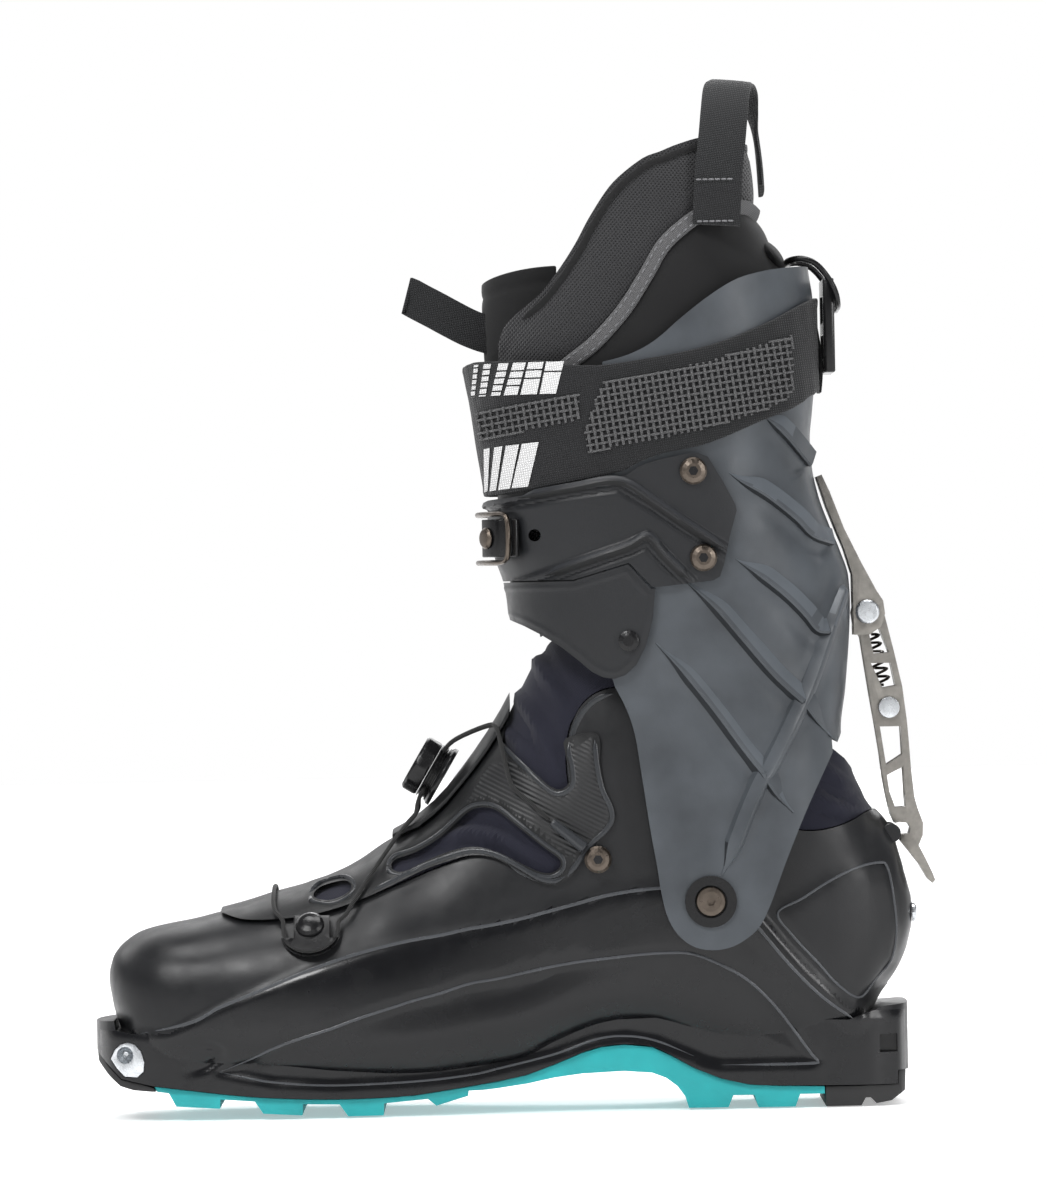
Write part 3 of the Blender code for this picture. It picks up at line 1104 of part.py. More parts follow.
# ---- place everything in the final frame, moving pieces on their axes ----
ORIGINS = {
    "cuff_shell": (PIVOT[0], 0, PIVOT[1]),
    "lock_lever": (LOCK_BOLT[0], 0, LOCK_BOLT[1]),
    "buckle_lever": (HINGE_A.x, HINGE_A.y, BAIL_Z),
    "wire_bail": (HINGE_B.x, HINGE_B.y, BAIL_Z),
    "dial_spool": tuple(on_axis(H0 + 2.5)),
    "dial_knob": tuple(on_axis(H0 + 6.0)),
}
for obj in list(bpy.data.objects):
    if obj.type != "MESH":
        continue
    mesh = obj.data
    at = Vector(ORIGINS.get(obj.name, (0, 0, 0)))
    for v in mesh.vertices:
        v.co = (v.co - at) * M
    place = (at + Vector((SHIFT_X, SHIFT_Y, 0))) * M
    if obj.name not in ORIGINS:
        for v in mesh.vertices:
            v.co += Vector((SHIFT_X, SHIFT_Y, 0)) * M
        place = Vector((0, 0, 0))
    obj.location = place
    mesh.update()
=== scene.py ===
"""Ski touring boot: the looks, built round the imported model.

Lengths in this file are millimetres in the boot's own grid; world() turns them into metres
in the frame, where the grid is moved by SHIFT_X. Toe towards -X, heel towards +X, -Y is the
inner (medial) side.
"""
import json
import math
import bmesh
import bpy
import numpy as np
from mathutils import Matrix, Vector
from mathutils.bvhtree import BVHTree

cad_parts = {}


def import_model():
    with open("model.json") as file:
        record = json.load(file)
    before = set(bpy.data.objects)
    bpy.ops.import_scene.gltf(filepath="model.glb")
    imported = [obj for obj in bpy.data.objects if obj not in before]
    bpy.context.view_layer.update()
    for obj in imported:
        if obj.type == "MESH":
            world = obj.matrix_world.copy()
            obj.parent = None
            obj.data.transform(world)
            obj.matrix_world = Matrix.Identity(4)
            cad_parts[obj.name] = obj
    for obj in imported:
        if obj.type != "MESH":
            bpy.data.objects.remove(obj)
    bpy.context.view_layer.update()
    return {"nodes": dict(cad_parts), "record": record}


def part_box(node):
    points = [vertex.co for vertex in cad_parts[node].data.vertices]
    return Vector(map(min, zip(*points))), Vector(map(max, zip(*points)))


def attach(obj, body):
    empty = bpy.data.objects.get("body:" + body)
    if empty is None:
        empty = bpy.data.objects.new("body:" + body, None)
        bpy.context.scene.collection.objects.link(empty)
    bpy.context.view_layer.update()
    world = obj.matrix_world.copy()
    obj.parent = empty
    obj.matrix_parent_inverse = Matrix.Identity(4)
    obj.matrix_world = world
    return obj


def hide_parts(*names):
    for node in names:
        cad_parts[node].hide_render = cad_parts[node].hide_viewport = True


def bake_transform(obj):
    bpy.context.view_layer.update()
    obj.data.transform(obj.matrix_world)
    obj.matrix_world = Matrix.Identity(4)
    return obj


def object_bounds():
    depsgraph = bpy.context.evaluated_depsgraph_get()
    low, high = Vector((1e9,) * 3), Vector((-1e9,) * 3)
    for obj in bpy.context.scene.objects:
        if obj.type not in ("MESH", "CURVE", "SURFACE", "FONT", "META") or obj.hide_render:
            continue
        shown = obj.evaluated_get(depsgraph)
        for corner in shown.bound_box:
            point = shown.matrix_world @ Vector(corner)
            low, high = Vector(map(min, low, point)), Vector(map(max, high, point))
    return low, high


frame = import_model()
NODES = frame["nodes"]
M = 0.001
SHIFT_X = -6.3
SIDES = (("medial", -1), ("lateral", 1))

# ---- driving dimensions, the same as the solids ----
PIVOT = (77.0, 74.8)
SHELL_WALL = 3.6
CUFF_WALL = 3.6
FLAP_GAP = 0.35
FLAP_T = 2.3

# ---- camera, light and floor ----
VIEW_CENTRE = (5.8, 184.1)      # world X and Z at the middle of the picture, mm
VIEW_HEIGHT = 435.2             # what the picture takes in at the boot, mm
CAMERA_DISTANCE = 3200.0
CAMERA_ROLL = math.radians(-1.117)
SENSOR = 24.0


def make_camera():
    data = bpy.data.cameras.new("camera")
    cam = bpy.data.objects.new("camera", data)
    bpy.context.scene.collection.objects.link(cam)
    data.sensor_fit = "VERTICAL"
    data.sensor_height = SENSOR
    data.lens = SENSOR * CAMERA_DISTANCE / VIEW_HEIGHT
    data.clip_start = 0.1
    data.clip_end = 30
    place = Matrix.Translation((VIEW_CENTRE[0] * M, -CAMERA_DISTANCE * M, VIEW_CENTRE[1] * M))
    cam.matrix_world = place @ Matrix.Rotation(math.pi / 2, 4, "X") @ Matrix.Rotation(CAMERA_ROLL, 4, "Z")
    bpy.context.scene.camera = cam


def area_light(name, at, aim, size, power, colour=(1, 1, 1)):
    data = bpy.data.lights.new(name, "AREA")
    data.shape = "RECTANGLE"
    data.size = size[0]
    data.size_y = size[1]
    data.energy = power
    data.color = colour
    light = bpy.data.objects.new(name, data)
    bpy.context.scene.collection.objects.link(light)
    light.location = at
    light.rotation_euler = (Vector(aim) - Vector(at)).to_track_quat("-Z", "Y").to_euler()
    return light


def make_stage():
    mesh = bpy.data.meshes.new("floor")
    r = 6.0
    mesh.from_pydata([(-r, -r, 0), (r, -r, 0), (r, r, 0), (-r, r, 0)], [], [(0, 1, 2, 3)])
    floor = bpy.data.objects.new("floor", mesh)
    bpy.context.scene.collection.objects.link(floor)
    floor.location.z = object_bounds()[0][2] - 0.0004
    mat = bpy.data.materials.new("floor_white")
    mat.use_nodes = True
    shader = mat.node_tree.nodes["Principled BSDF"]
    shader.inputs["Base Color"].default_value = (0.9, 0.9, 0.9, 1)
    shader.inputs["Roughness"].default_value = 0.7
    shader.inputs["Emission Color"].default_value = (1, 1, 1, 1)
    shader.inputs["Emission Strength"].default_value = 0.36
    mesh.materials.append(mat)
    bpy.context.scene.view_settings.view_transform = "Standard"
    make_world()
    area_light("key", (-0.8, -1.3, 1.5), (0, 0, 0.12), (0.8, 0.45), 27)
    area_light("side", (1.3, -1.2, 0.7), (0, 0, 0.2), (0.3, 1.1), 11)
    area_light("top", (0.0, -0.1, 1.5), (0, 0, 0.1), (1.1, 0.5), 16)
    area_light("back", (0.4, 1.5, 0.9), (0, 0, 0.15), (1.2, 0.8), 8)
    area_light("floor_wash", (0, 4.6, 2.6), (0, 4.6, 0), (9, 5), 230)


def make_world():
    """White band at eye level for a white background, dimmer above so that the lights model the boot."""
    data = bpy.data.worlds.new("studio")
    data.use_nodes = True
    tree = data.node_tree
    sky = tree.nodes["Background"]
    coords = tree.nodes.new("ShaderNodeTexCoord")
    split = tree.nodes.new("ShaderNodeSeparateXYZ")
    ramp = tree.nodes.new("ShaderNodeValToRGB")
    ramp.color_ramp.elements[0].position = 0.10
    ramp.color_ramp.elements[0].color = (1, 1, 1, 1)
    ramp.color_ramp.elements[1].position = 0.22
    ramp.color_ramp.elements[1].color = (0.22, 0.22, 0.23, 1)
    tree.links.new(coords.outputs["Generated"], split.inputs[0])
    tree.links.new(split.outputs["Z"], ramp.inputs["Fac"])
    tree.links.new(ramp.outputs["Color"], sky.inputs["Color"])
    sky.inputs["Strength"].default_value = 1.0
    bpy.context.scene.world = data


make_camera()
make_stage()


# ---- materials ----
class Surface:
    """A small builder for one procedural material, in object space (metres)."""

    def __init__(self, name, colour, rough, metal=0.0):
        self.mat = bpy.data.materials.new(name)
        self.mat.use_nodes = True
        self.tree = self.mat.node_tree
        self.shader = self.tree.nodes["Principled BSDF"]
        self.colour = colour
        self.shader.inputs["Base Color"].default_value = (*colour, 1)
        self.shader.inputs["Roughness"].default_value = rough
        self.shader.inputs["Metallic"].default_value = metal
        self.coords = self.tree.nodes.new("ShaderNodeTexCoord").outputs["Object"]
        self.height = None

    def set(self, name, value):
        self.shader.inputs[name].default_value = value
        return self

    def mapped(self, scale=(1, 1, 1), turn=(0, 0, 0)):
        node = self.tree.nodes.new("ShaderNodeMapping")
        node.inputs["Scale"].default_value = scale
        node.inputs["Rotation"].default_value = turn
        self.tree.links.new(self.coords, node.inputs["Vector"])
        return node.outputs[0]

    def noise(self, scale, detail=3.0, vector=None):
        node = self.tree.nodes.new("ShaderNodeTexNoise")
        node.inputs["Scale"].default_value = scale
        node.inputs["Detail"].default_value = detail
        self.tree.links.new(vector or self.coords, node.inputs["Vector"])
        return node.outputs[0]

    def wave(self, scale, direction="X", vector=None, distortion=0.0):
        node = self.tree.nodes.new("ShaderNodeTexWave")
        node.wave_type = "BANDS"
        node.bands_direction = direction
        node.inputs["Scale"].default_value = scale
        node.inputs["Distortion"].default_value = distortion
        self.tree.links.new(vector or self.coords, node.inputs["Vector"])
        return node.outputs["Fac"]

    def maths(self, what, a, b):
        node = self.tree.nodes.new("ShaderNodeMath")
        node.operation = what
        for socket, value in zip(node.inputs, (a, b)):
            if isinstance(value, (int, float)):
                socket.default_value = value
            else:
                self.tree.links.new(value, socket)
        return node.outputs[0]

    def ramp(self, value, low, high, start=0.3, stop=0.7):
        node = self.tree.nodes.new("ShaderNodeValToRGB")
        node.color_ramp.elements[0].position = start
        node.color_ramp.elements[1].position = stop
        node.color_ramp.elements[0].color = (*low, 1)
        node.color_ramp.elements[1].color = (*high, 1)
        self.tree.links.new(value, node.inputs["Fac"])
        return node.outputs["Color"]

    def colours(self, value, low, high, start=0.3, stop=0.7):
        out = self.ramp(value, low, high, start, stop)
        self.tree.links.new(out, self.shader.inputs["Base Color"])
        return self

    def rough(self, value, low, high, start=0.3, stop=0.7):
        out = self.ramp(value, (low,) * 3, (high,) * 3, start, stop)
        self.tree.links.new(out, self.shader.inputs["Roughness"])
        return self

    def bump(self, value, distance, strength=1.0):
        node = self.tree.nodes.new("ShaderNodeBump")
        node.inputs["Distance"].default_value = distance
        node.inputs["Strength"].default_value = strength
        self.tree.links.new(value, node.inputs["Height"])
        if self.height:
            self.tree.links.new(self.height, node.inputs["Normal"])
        self.height = node.outputs["Normal"]
        self.tree.links.new(self.height, self.shader.inputs["Normal"])
        return self


def shade(colour, k):
    return tuple(c * k for c in colour)


def moulded(name, colour, rough, grain=0.00004, cloud=0.12, coat=0.0):
    """Injection-moulded plastic: fine grain, faint clouds in colour and gloss."""
    s = Surface(name, colour, rough)
    clouds = s.noise(45, 4)
    s.colours(clouds, shade(colour, 1 - cloud), shade(colour, 1 + cloud))
    s.rough(s.noise(130, 3), rough - 0.06, rough + 0.07)
    s.bump(s.noise(2600, 2), grain, 0.6)
    s.set("Specular IOR Level", 0.28)
    if coat:
        s.set("Coat Weight", coat)
        s.set("Coat Roughness", 0.12)
    return s.mat


def metal(name, colour, rough, brushed=False):
    s = Surface(name, colour, rough, 1.0)
    s.rough(s.noise(900, 3), rough - 0.08, rough + 0.12)
    s.colours(s.noise(300, 3), shade(colour, 0.86), shade(colour, 1.12))
    if brushed:
        s.bump(s.noise(2500, 2), 0.00003, 0.5)
    return s.mat


def rubber(name, colour, rough):
    s = Surface(name, colour, rough)
    s.colours(s.noise(60, 4), shade(colour, 0.86), shade(colour, 1.1))
    s.bump(s.noise(1500, 3), 0.00006, 0.6)
    return s.mat


def woven(name, colour, pitch, depth, tilt=0.0, fleck=1.6):
    """Plain weave: two sets of threads crossing, pitch in mm."""
    s = Surface(name, colour, 0.85)
    per = 1000 / pitch / 6.283 * 3.1416
    turned = s.mapped((1, 1, 1), (0, tilt, 0))
    warp = s.wave(per, "X", turned)
    weft = s.wave(per, "Z", turned)
    cross = s.maths("MULTIPLY", warp, weft)
    s.colours(cross, shade(colour, 0.55), shade(colour, fleck), 0.1, 0.9)
    s.bump(cross, depth, 0.8)
    s.set("Sheen Weight", 0.08)
    s.set("Specular IOR Level", 0.3)
    return s.mat


def knit(name, colour, pitch, depth, lift=1.5):
    """Spacer mesh: slanted rows of small dark holes, pitch in mm."""
    s = Surface(name, colour, 0.85)
    per = 1000 / pitch / 2
    one = s.wave(per, "X", s.mapped((1, 1, 1), (0, 0.6, 0)))
    two = s.wave(per, "X", s.mapped((1, 1, 1), (0, -0.75, 0)))
    holes = s.maths("MULTIPLY", one, two)
    s.colours(holes, shade(colour, lift), shade(colour, 0.2), 0.25, 0.75)
    s.bump(s.maths("SUBTRACT", 1.0, holes), depth, 0.9)
    s.set("Sheen Weight", 0.12)
    s.set("Specular IOR Level", 0.3)
    return s.mat


def ribbed(name, colour, rough, pitch, depth, turn):
    """Soft film with fine moulded ribs, pitch in mm."""
    s = Surface(name, colour, rough)
    lines = s.wave(1000 / pitch / 6.2832, "X", s.mapped((1, 1, 1), (0, turn, 0)))
    s.colours(lines, shade(colour, 0.8), shade(colour, 1.3), 0.2, 0.9)
    s.bump(lines, depth, 0.9)
    s.set("Specular IOR Level", 0.4)
    return s.mat


BLACK = (0.0105, 0.0108, 0.0118)
SLATE = (0.049, 0.055, 0.062)
CHARCOAL = (0.0120, 0.0127, 0.0142)
TEAL = (0.006, 0.310, 0.325)
NAVY = (0.0095, 0.0100, 0.0215)
MATS = {
    "shell_plastic": moulded("shell_satin", BLACK, 0.36, 0.00005),
    "shell_gloss": moulded("shell_gloss", (0.0040, 0.0042, 0.0050), 0.24, 0.00002, coat=0.12),
    "cuff_plastic": moulded("cuff_slate", SLATE, 0.40, 0.00005, 0.24),
    # painted shade and painted highlight: darker and lighter copies of the slate for the cuff ribs'
    # undersides and crests
    "cuff_painted_shade": moulded("cuff_painted_shade", shade(SLATE, 0.34), 0.46, 0.00005, 0.1),
    "cuff_painted_highlight": moulded("cuff_painted_highlight", shade(SLATE, 1.55), 0.34, 0.00004, 0.1),
    # painted shade and painted highlight: darker and lighter copies of the charcoal for the flap ridges'
    # undersides and crests
    "flap_painted_shade": moulded("flap_painted_shade", shade(CHARCOAL, 0.30), 0.5, 0.00005, 0.05),
    "flap_painted_highlight": moulded("flap_painted_highlight", shade(CHARCOAL, 1.9), 0.34, 0.00005, 0.05),
    "flap_plastic": moulded("flap_charcoal", CHARCOAL, 0.42, 0.00008, 0.06),
    "gloss_black": moulded("gloss_black", (0.006, 0.006, 0.0065), 0.25, 0.00002),
    "overlap_tpu": moulded("overlap_film", (0.0085, 0.0088, 0.0093), 0.40, 0.00006),
    "overlap_ribbed": ribbed("overlap_ribbed", (0.0095, 0.0098, 0.0105), 0.45, 0.8, 0.00022, 1.1),
    "piping_film": moulded("piping_film", (0.026, 0.028, 0.031), 0.28, 0.00003),
    # painted highlight: a grey well above the shell's black, for the lines along the shell's crisp edges
    "edge_highlight": moulded("edge_highlight", (0.050, 0.053, 0.058), 0.24, 0.00002),
    "teal_rubber": rubber("teal_rubber", TEAL, 0.55),
    "black_rubber": rubber("black_rubber", (0.007, 0.007, 0.0075), 0.6),
    "steel": metal("zinc_steel", (0.55, 0.57, 0.59), 0.28),
    "dark_steel": metal("black_nickel", (0.105, 0.087, 0.072), 0.34),
    "lever_alloy": metal("lever_alloy", (0.25, 0.238, 0.218), 0.40, True),
    "navy_fabric": woven("navy_stretch", NAVY, 0.7, 0.00012, 0.5),
    "lace_black": woven("lace_sheath", (0.014, 0.014, 0.014), 0.8, 0.00015, 0.8, 2.5),
    "webbing": woven("webbing_black", (0.0125, 0.013, 0.014), 1.3, 0.0003, 0.15, 1.8),
    "strap_thread": woven("strap_thread", (0.095, 0.095, 0.097), 0.9, 0.0002, 0.3, 1.8),
    "strap_print": woven("strap_print_white", (0.80, 0.80, 0.80), 1.3, 0.00015, 0.15, 1.03),
    "liner_mesh": knit("liner_knit", (0.0125, 0.0125, 0.0135), 1.7, 0.0006, 1.7),
    "liner_plain": woven("liner_plain", (0.0065, 0.0065, 0.007), 0.5, 0.00008, 0.3, 1.3),
    "piping_grey": woven("piping_grey", (0.115, 0.115, 0.118), 0.9, 0.0002, 0.6, 1.3),
    "thread": woven("thread_grey", (0.21, 0.21, 0.22), 0.6, 0.0001, 0.6, 1.2),
}


# ---- the boot's forms, in mm, as its parts were drawn: X along the boot, Z up from the floor ----
Z_TOP = [(-140, 54), (-138.5, 58.5), (-134, 63.5), (-128, 67), (-120, 69), (-110, 70.7), (-100, 73),
         (-90, 75.5), (-80, 78.5), (-70, 81), (-60, 84), (-50, 89), (-40, 95.5), (-30, 101), (-20, 109),
         (-10, 121), (0, 135), (5, 143.5), (12, 157), (16, 164), (25, 171), (40, 175), (95, 172),
         (112, 158), (120, 146), (126, 134.5), (130, 122.5), (133, 115), (136, 108), (140, 104),
         (144, 98), (146, 91), (148, 84), (150, 76)]
Z_BOT = [(-140, 46), (-138.5, 38), (-134, 26), (-128, 16), (-120, 12.5), (-100, 10), (-80, 8.5),
         (-50, 6.8), (-30, 7.4), (-10, 10), (0, 11.5), (10, 13.5), (20, 18.5), (30, 22.5),
         (37, 24.5), (45, 25.4), (55, 24.6), (62, 22), (70, 18), (80, 14), (90, 11), (100, 9.8), (117, 9.6),
         (125, 12), (132, 26), (136, 34), (139, 39.5), (141, 42), (144, 46), (148, 54), (150, 62)]
HALF_W = [(-140, 9), (-138.5, 17), (-134, 27), (-128, 34), (-120, 39.5), (-110, 43.5), (-100, 46),
          (-80, 49), (-60, 50.5), (-40, 49.5), (-20, 46.5), (0, 43.5), (20, 41.5), (40, 41), (77, 41),
          (90, 40), (105, 38.5), (120, 36), (132, 32.5), (140, 28.5), (144, 26), (148, 21.5), (150, 17)]
Z_WIDE = [(-140, 50), (-130, 42), (-120, 38), (-40, 38), (0, 42), (40, 60), (77, 72), (120, 66), (150, 69)]
N_UP = [(-140, 2.0), (-120, 2.6), (-80, 2.4), (-40, 2.2), (0, 2.1), (15, 2.4), (30, 3.2), (50, 5.5),
        (77, 6.0), (95, 5.0), (110, 3.4), (125, 2.6), (150, 2.2)]
N_LOW = [(-140, 2.0), (-130, 2.6), (-100, 3.0), (120, 3.0), (135, 2.6), (150, 2.2)]
Y_MID = [(-140, -6), (-125, -5), (-95, 0), (150, 0)]
FLOOR = [(-137, 44), (-134, 33), (-128, 26), (-110, 21), (-60, 17.5), (0, 20), (45, 30), (75, 27),
         (110, 25), (130, 31), (140, 47), (147, 60)]
X_BACK = [(50, 130), (75, 130), (100, 128), (120, 126), (135, 126), (150, 128), (172, 130), (182, 130.4),
          (190, 130), (200, 127), (210, 123), (220, 119.6), (230, 117.6), (240, 117), (250, 118),
          (262, 119), (290, 119), (303, 117.5), (360, 117)]
X_FRONT = [(50, 20), (135, 14), (160, 12), (177, 9.6), (190, 7.6), (200, 4.4), (212, 2.4), (220, 1.2),
           (230, -0.3), (240, -1.9), (255, -3.9), (267, -5.9), (280, -6.6), (300, -6.0), (360, -6)]
HALF_B = [(50, 48.5), (125, 48.5), (150, 49.5), (180, 51.5), (220, 53.5), (250, 54.5), (300, 53.5), (360, 52)]
X_MID = [(50, 75), (130, 75), (180, 66), (300, 60), (360, 60)]
N_SHAFT = [(50, 4.0), (120, 4.0), (160, 3.0), (200, 2.6), (300, 2.5), (360, 2.5)]
CURVES = {}


def table(rows, x):
    """Smooth, shape-keeping interpolation in a table of (x, value) rows; x may be an array."""
    key = id(rows)
    if key not in CURVES:
        xs, ys = np.array(rows, float).T
        s = np.diff(ys) / np.diff(xs)
        m = np.zeros(len(xs))
        m[0] = s[0]
        m[-1] = s[-1]
        a = s[:-1]
        b = s[1:]
        same = a * b > 0
        m[1:-1][same] = 2 * a[same] * b[same] / (a[same] + b[same])
        CURVES[key] = (xs, ys, m, rows)
    xs, ys, m, _ = CURVES[key]
    x = np.clip(np.asarray(x, float), xs[0], xs[-1])
    i = np.clip(np.searchsorted(xs, x) - 1, 0, len(xs) - 2)
    h = xs[i + 1] - xs[i]
    t = (x - xs[i]) / h
    return (ys[i] * (2 * t ** 3 - 3 * t ** 2 + 1) + m[i] * h * (t ** 3 - 2 * t ** 2 + t)
            + ys[i + 1] * (3 * t ** 2 - 2 * t ** 3) + m[i + 1] * h * (t ** 3 - t ** 2))


def ellipse_unit(a, n):
    u = np.cos(a)
    v = np.sin(a)
    s = (np.abs(u) ** n + np.abs(v) ** n) ** (-1 / n)
    return u * s, v * s


def foot_surface(x, a, d, floor=None):
    """Point of the foot form at X and angle a (90 deg on top), grown by d."""
    w = table(HALF_W, x) + d
    zc = table(Z_WIDE, x)
    up = table(Z_TOP, x) + d - zc
    low = zc - (table(Z_BOT, x) - d if floor is None else floor)
    n = np.where(np.sin(a) >= 0, table(N_UP, x), table(N_LOW, x))
    u, v = ellipse_unit(a, n)
    y = table(Y_MID, x) + w * u
    z = zc + np.where(v >= 0, up, low) * v
    return np.stack([x + 0 * y, y, z], -1)


def shaft_surface(a, z, d):
    """Point of the shaft form; angle 0 is the back, +90 deg the outer (lateral) side."""
    u, v = ellipse_unit(a, table(N_SHAFT, z))
    xm = table(X_MID, z)
    reach = np.where(u >= 0, table(X_BACK, z) - xm + d, xm - table(X_FRONT, z) + d)
    return np.stack([xm + reach * u, (table(HALF_B, z) + d) * v, z + 0 * u], -1)


def shaft_point(a, z, d):
    return Vector(shaft_surface(np.array(float(a)), np.array(float(z)), d))


def shaft_angle(x, z, d, side):
    lo, hi = 0.0, math.pi
    for _ in range(36):
        mid = (lo + hi) / 2
        if shaft_point(mid, z, d).x > x:
            lo = mid
        else:
            hi = mid
    return side * (lo + hi) / 2


def shaft_side(x, z, d, side):
    """Point of the shaft form's side at (X, Z)."""
    return shaft_point(shaft_angle(x, z, d, side), z, d)


# ---- mesh helpers ----
def world(points):
    p = np.asarray(points, float).copy()
    p[..., 0] += SHIFT_X
    return p * M


def make(name, verts, faces, mat, smooth=35.0):
    mesh = bpy.data.meshes.new(name)
    mesh.from_pydata(world(verts).tolist(), [], faces)
    mesh.update()
    obj = bpy.data.objects.new(name, mesh)
    bpy.context.scene.collection.objects.link(obj)
    bm = bmesh.new()
    bm.from_mesh(mesh)
    bmesh.ops.remove_doubles(bm, verts=bm.verts, dist=1e-7)
    bmesh.ops.recalc_face_normals(bm, faces=bm.faces)
    if bm.calc_volume(signed=True) < 0:
        bmesh.ops.reverse_faces(bm, faces=bm.faces)
    bm.to_mesh(mesh)
    bm.free()
    if mat:
        mesh.materials.append(MATS[mat])
    soften(obj, smooth)
    return obj


def soften(obj, angle=35.0):
    obj.data.shade_smooth()
    obj.data.set_sharp_from_angle(angle=math.radians(angle))


def quads(rows, cols, wrap):
    """Faces of a grid of points, wrapping round its columns if asked."""
    r = np.arange(rows - 1)[:, None]
    c = np.arange(cols if wrap else cols - 1)[None, :]
    n = (c + 1) % cols
    return np.stack([r * cols + c, r * cols + n, (r + 1) * cols + n, (r + 1) * cols + c], -1).reshape(-1, 4)


def wall(name, outer, inner, mat):
    """Closed wall between two stacks of closed rings (rows, around, 3)."""
    rows, cols, _ = outer.shape
    off = rows * cols
    faces = quads(rows, cols, True).tolist()
    faces += (quads(inner.shape[0], cols, True)[:, ::-1] + off).tolist()
    last = (rows - 1) * cols
    inner_last = off + (inner.shape[0] - 1) * cols
    for k in range(cols):
        j = (k + 1) % cols
        faces.append((j, k, off + k, off + j))
        faces.append((last + k, last + j, inner_last + j, inner_last + k))
    return make(name, np.concatenate([outer.reshape(-1, 3), inner.reshape(-1, 3)]), faces, mat)


def block(name, rings, mat):
    """Solid through closed rings, capped at both ends."""
    rows, cols, _ = rings.shape
    faces = quads(rows, cols, True).tolist()
    faces.append(tuple(range(cols))[::-1])
    faces.append(tuple((rows - 1) * cols + k for k in range(cols)))
    return make(name, rings.reshape(-1, 3), faces, mat)


def sheet_solid(name, outer, inner, mat):
    """Closed sheet of thickness between two open grids of points."""
    rows, cols, _ = outer.shape
    off = rows * cols
    faces = quads(rows, cols, False).tolist()
    faces += (quads(rows, cols, False)[:, ::-1] + off).tolist()
    for i in range(rows - 1):
        a = i * cols
        faces.append((a, a + cols, off + a + cols, off + a))
        b = a + cols - 1
        faces.append((b + cols, b, off + b, off + b + cols))
    for k in range(cols - 1):
        faces.append((k + 1, k, off + k, off + k + 1))
        c = (rows - 1) * cols + k
        faces.append((c, c + 1, off + c + 1, off + c))
    return make(name, np.concatenate([outer.reshape(-1, 3), inner.reshape(-1, 3)]), faces, mat)


def prism(name, outline, y0, y1, mat=None):
    """Outline in X, Z extruded along Y."""
    n = len(outline)
    verts = [(x, y0, z) for x, z in outline] + [(x, y1, z) for x, z in outline]
    faces = [tuple(range(n)), tuple(range(2 * n - 1, n - 1, -1))]
    faces += [(k, (k + 1) % n, n + (k + 1) % n, n + k) for k in range(n)]
    return make(name, verts, faces, mat)


def box(name, lo, hi, mat=None):
    return prism(name, [(lo[0], lo[2]), (hi[0], lo[2]), (hi[0], hi[2]), (lo[0], hi[2])], lo[1], hi[1], mat)


def frame_on(normal, up=(0, 0, 1)):
    z = Vector(normal).normalized()
    up = Vector(up)
    if abs(z.dot(up)) > 0.95:
        up = Vector((1, 0, 0))
    x = up.cross(z).normalized()
    return Matrix((x, z.cross(x), z)).transposed()


def turned(name, centre, axis, profile, mat, count=48):
    """Solid of revolution: profile is (radius, height) along the axis, closed at both ends."""
    rot = np.array(frame_on(axis))
    a = np.linspace(0, 2 * math.pi, count, endpoint=False)
    rings = []
    for r, h in profile:
        local = np.stack([r * np.cos(a), r * np.sin(a), np.full(count, h)], -1)
        rings.append(local @ rot.T + np.array(centre))
    return block(name, np.array(rings), mat)


def spline(points, step, closed=False):
    """Evenly spaced points on a smooth line through the given ones."""
    p = [np.array(q, float) for q in points]
    n = len(p)
    dense = []
    for i in range(n if closed else n - 1):
        if closed:
            p0, p1, p2, p3 = p[i - 1], p[i], p[(i + 1) % n], p[(i + 2) % n]
        else:
            p0, p1, p2, p3 = p[max(i - 1, 0)], p[i], p[i + 1], p[min(i + 2, n - 1)]
        for t in np.linspace(0, 1, 16, endpoint=False):
            dense.append(0.5 * (2 * p1 + (p2 - p0) * t + (2 * p0 - 5 * p1 + 4 * p2 - p3) * t * t
                                + (3 * p1 - p0 - 3 * p2 + p3) * t ** 3))
    dense.append(p[0] if closed else p[-1])
    dense = np.array(dense)
    run = np.concatenate([[0], np.cumsum(np.linalg.norm(np.diff(dense, axis=0), axis=1))])
    count = max(int(round(run[-1] / step)), 2)
    at = np.linspace(0, run[-1], count + 1)
    out = np.stack([np.interp(at, run, dense[:, k]) for k in range(dense.shape[1])], -1)
    return out[:-1] if closed else out


def sweep(name, path, section, mat, ups=None, closed=False, sizes=None):
    """Solid swept along a path; section is a list of (across, up) offsets, sizes scale it on the way."""
    pts = np.array([tuple(p) for p in path], float)
    if closed:
        t = np.roll(pts, -1, 0) - np.roll(pts, 1, 0)
    else:
        t = np.gradient(pts, axis=0)
    t /= np.linalg.norm(t, axis=1)[:, None]
    rings = []
    prev = None
    for i, p in enumerate(pts):
        if ups is not None:
            up = np.array(ups[i] if len(np.shape(ups)) == 2 else ups, float)
        elif prev is None:
            up = np.array((0, 0, 1.0)) if abs(t[i][2]) < 0.9 else np.array((0, 1.0, 0))
        else:
            up = prev
        across = np.cross(t[i], up)
        across /= np.linalg.norm(across)
        up = np.cross(across, t[i])
        prev = up
        k = 1.0 if sizes is None else sizes[i]
        rings.append([p + across * a * k + up * b * k for a, b in section])
    rings = np.array(rings)
    if not closed:
        return block(name, rings, mat)
    rows, cols, _ = rings.shape
    faces = quads(rows, cols, True).tolist()
    last = (rows - 1) * cols
    faces += [(last + k, last + (k + 1) % cols, (k + 1) % cols, k) for k in range(cols)]
    return make(name, rings.reshape(-1, 3), faces, mat)


def flat_section(width, height, lift=0.0, edge=0.35):
    """Low rounded bar, width across and height up, its foot sunk by edge."""
    w = width / 2
    pts = [(-w, -edge), (w, -edge)]
    for k in range(7):
        a = math.pi * k / 6
        pts.append((w * math.cos(a), lift + height * math.sin(a) ** 0.6))
    return pts


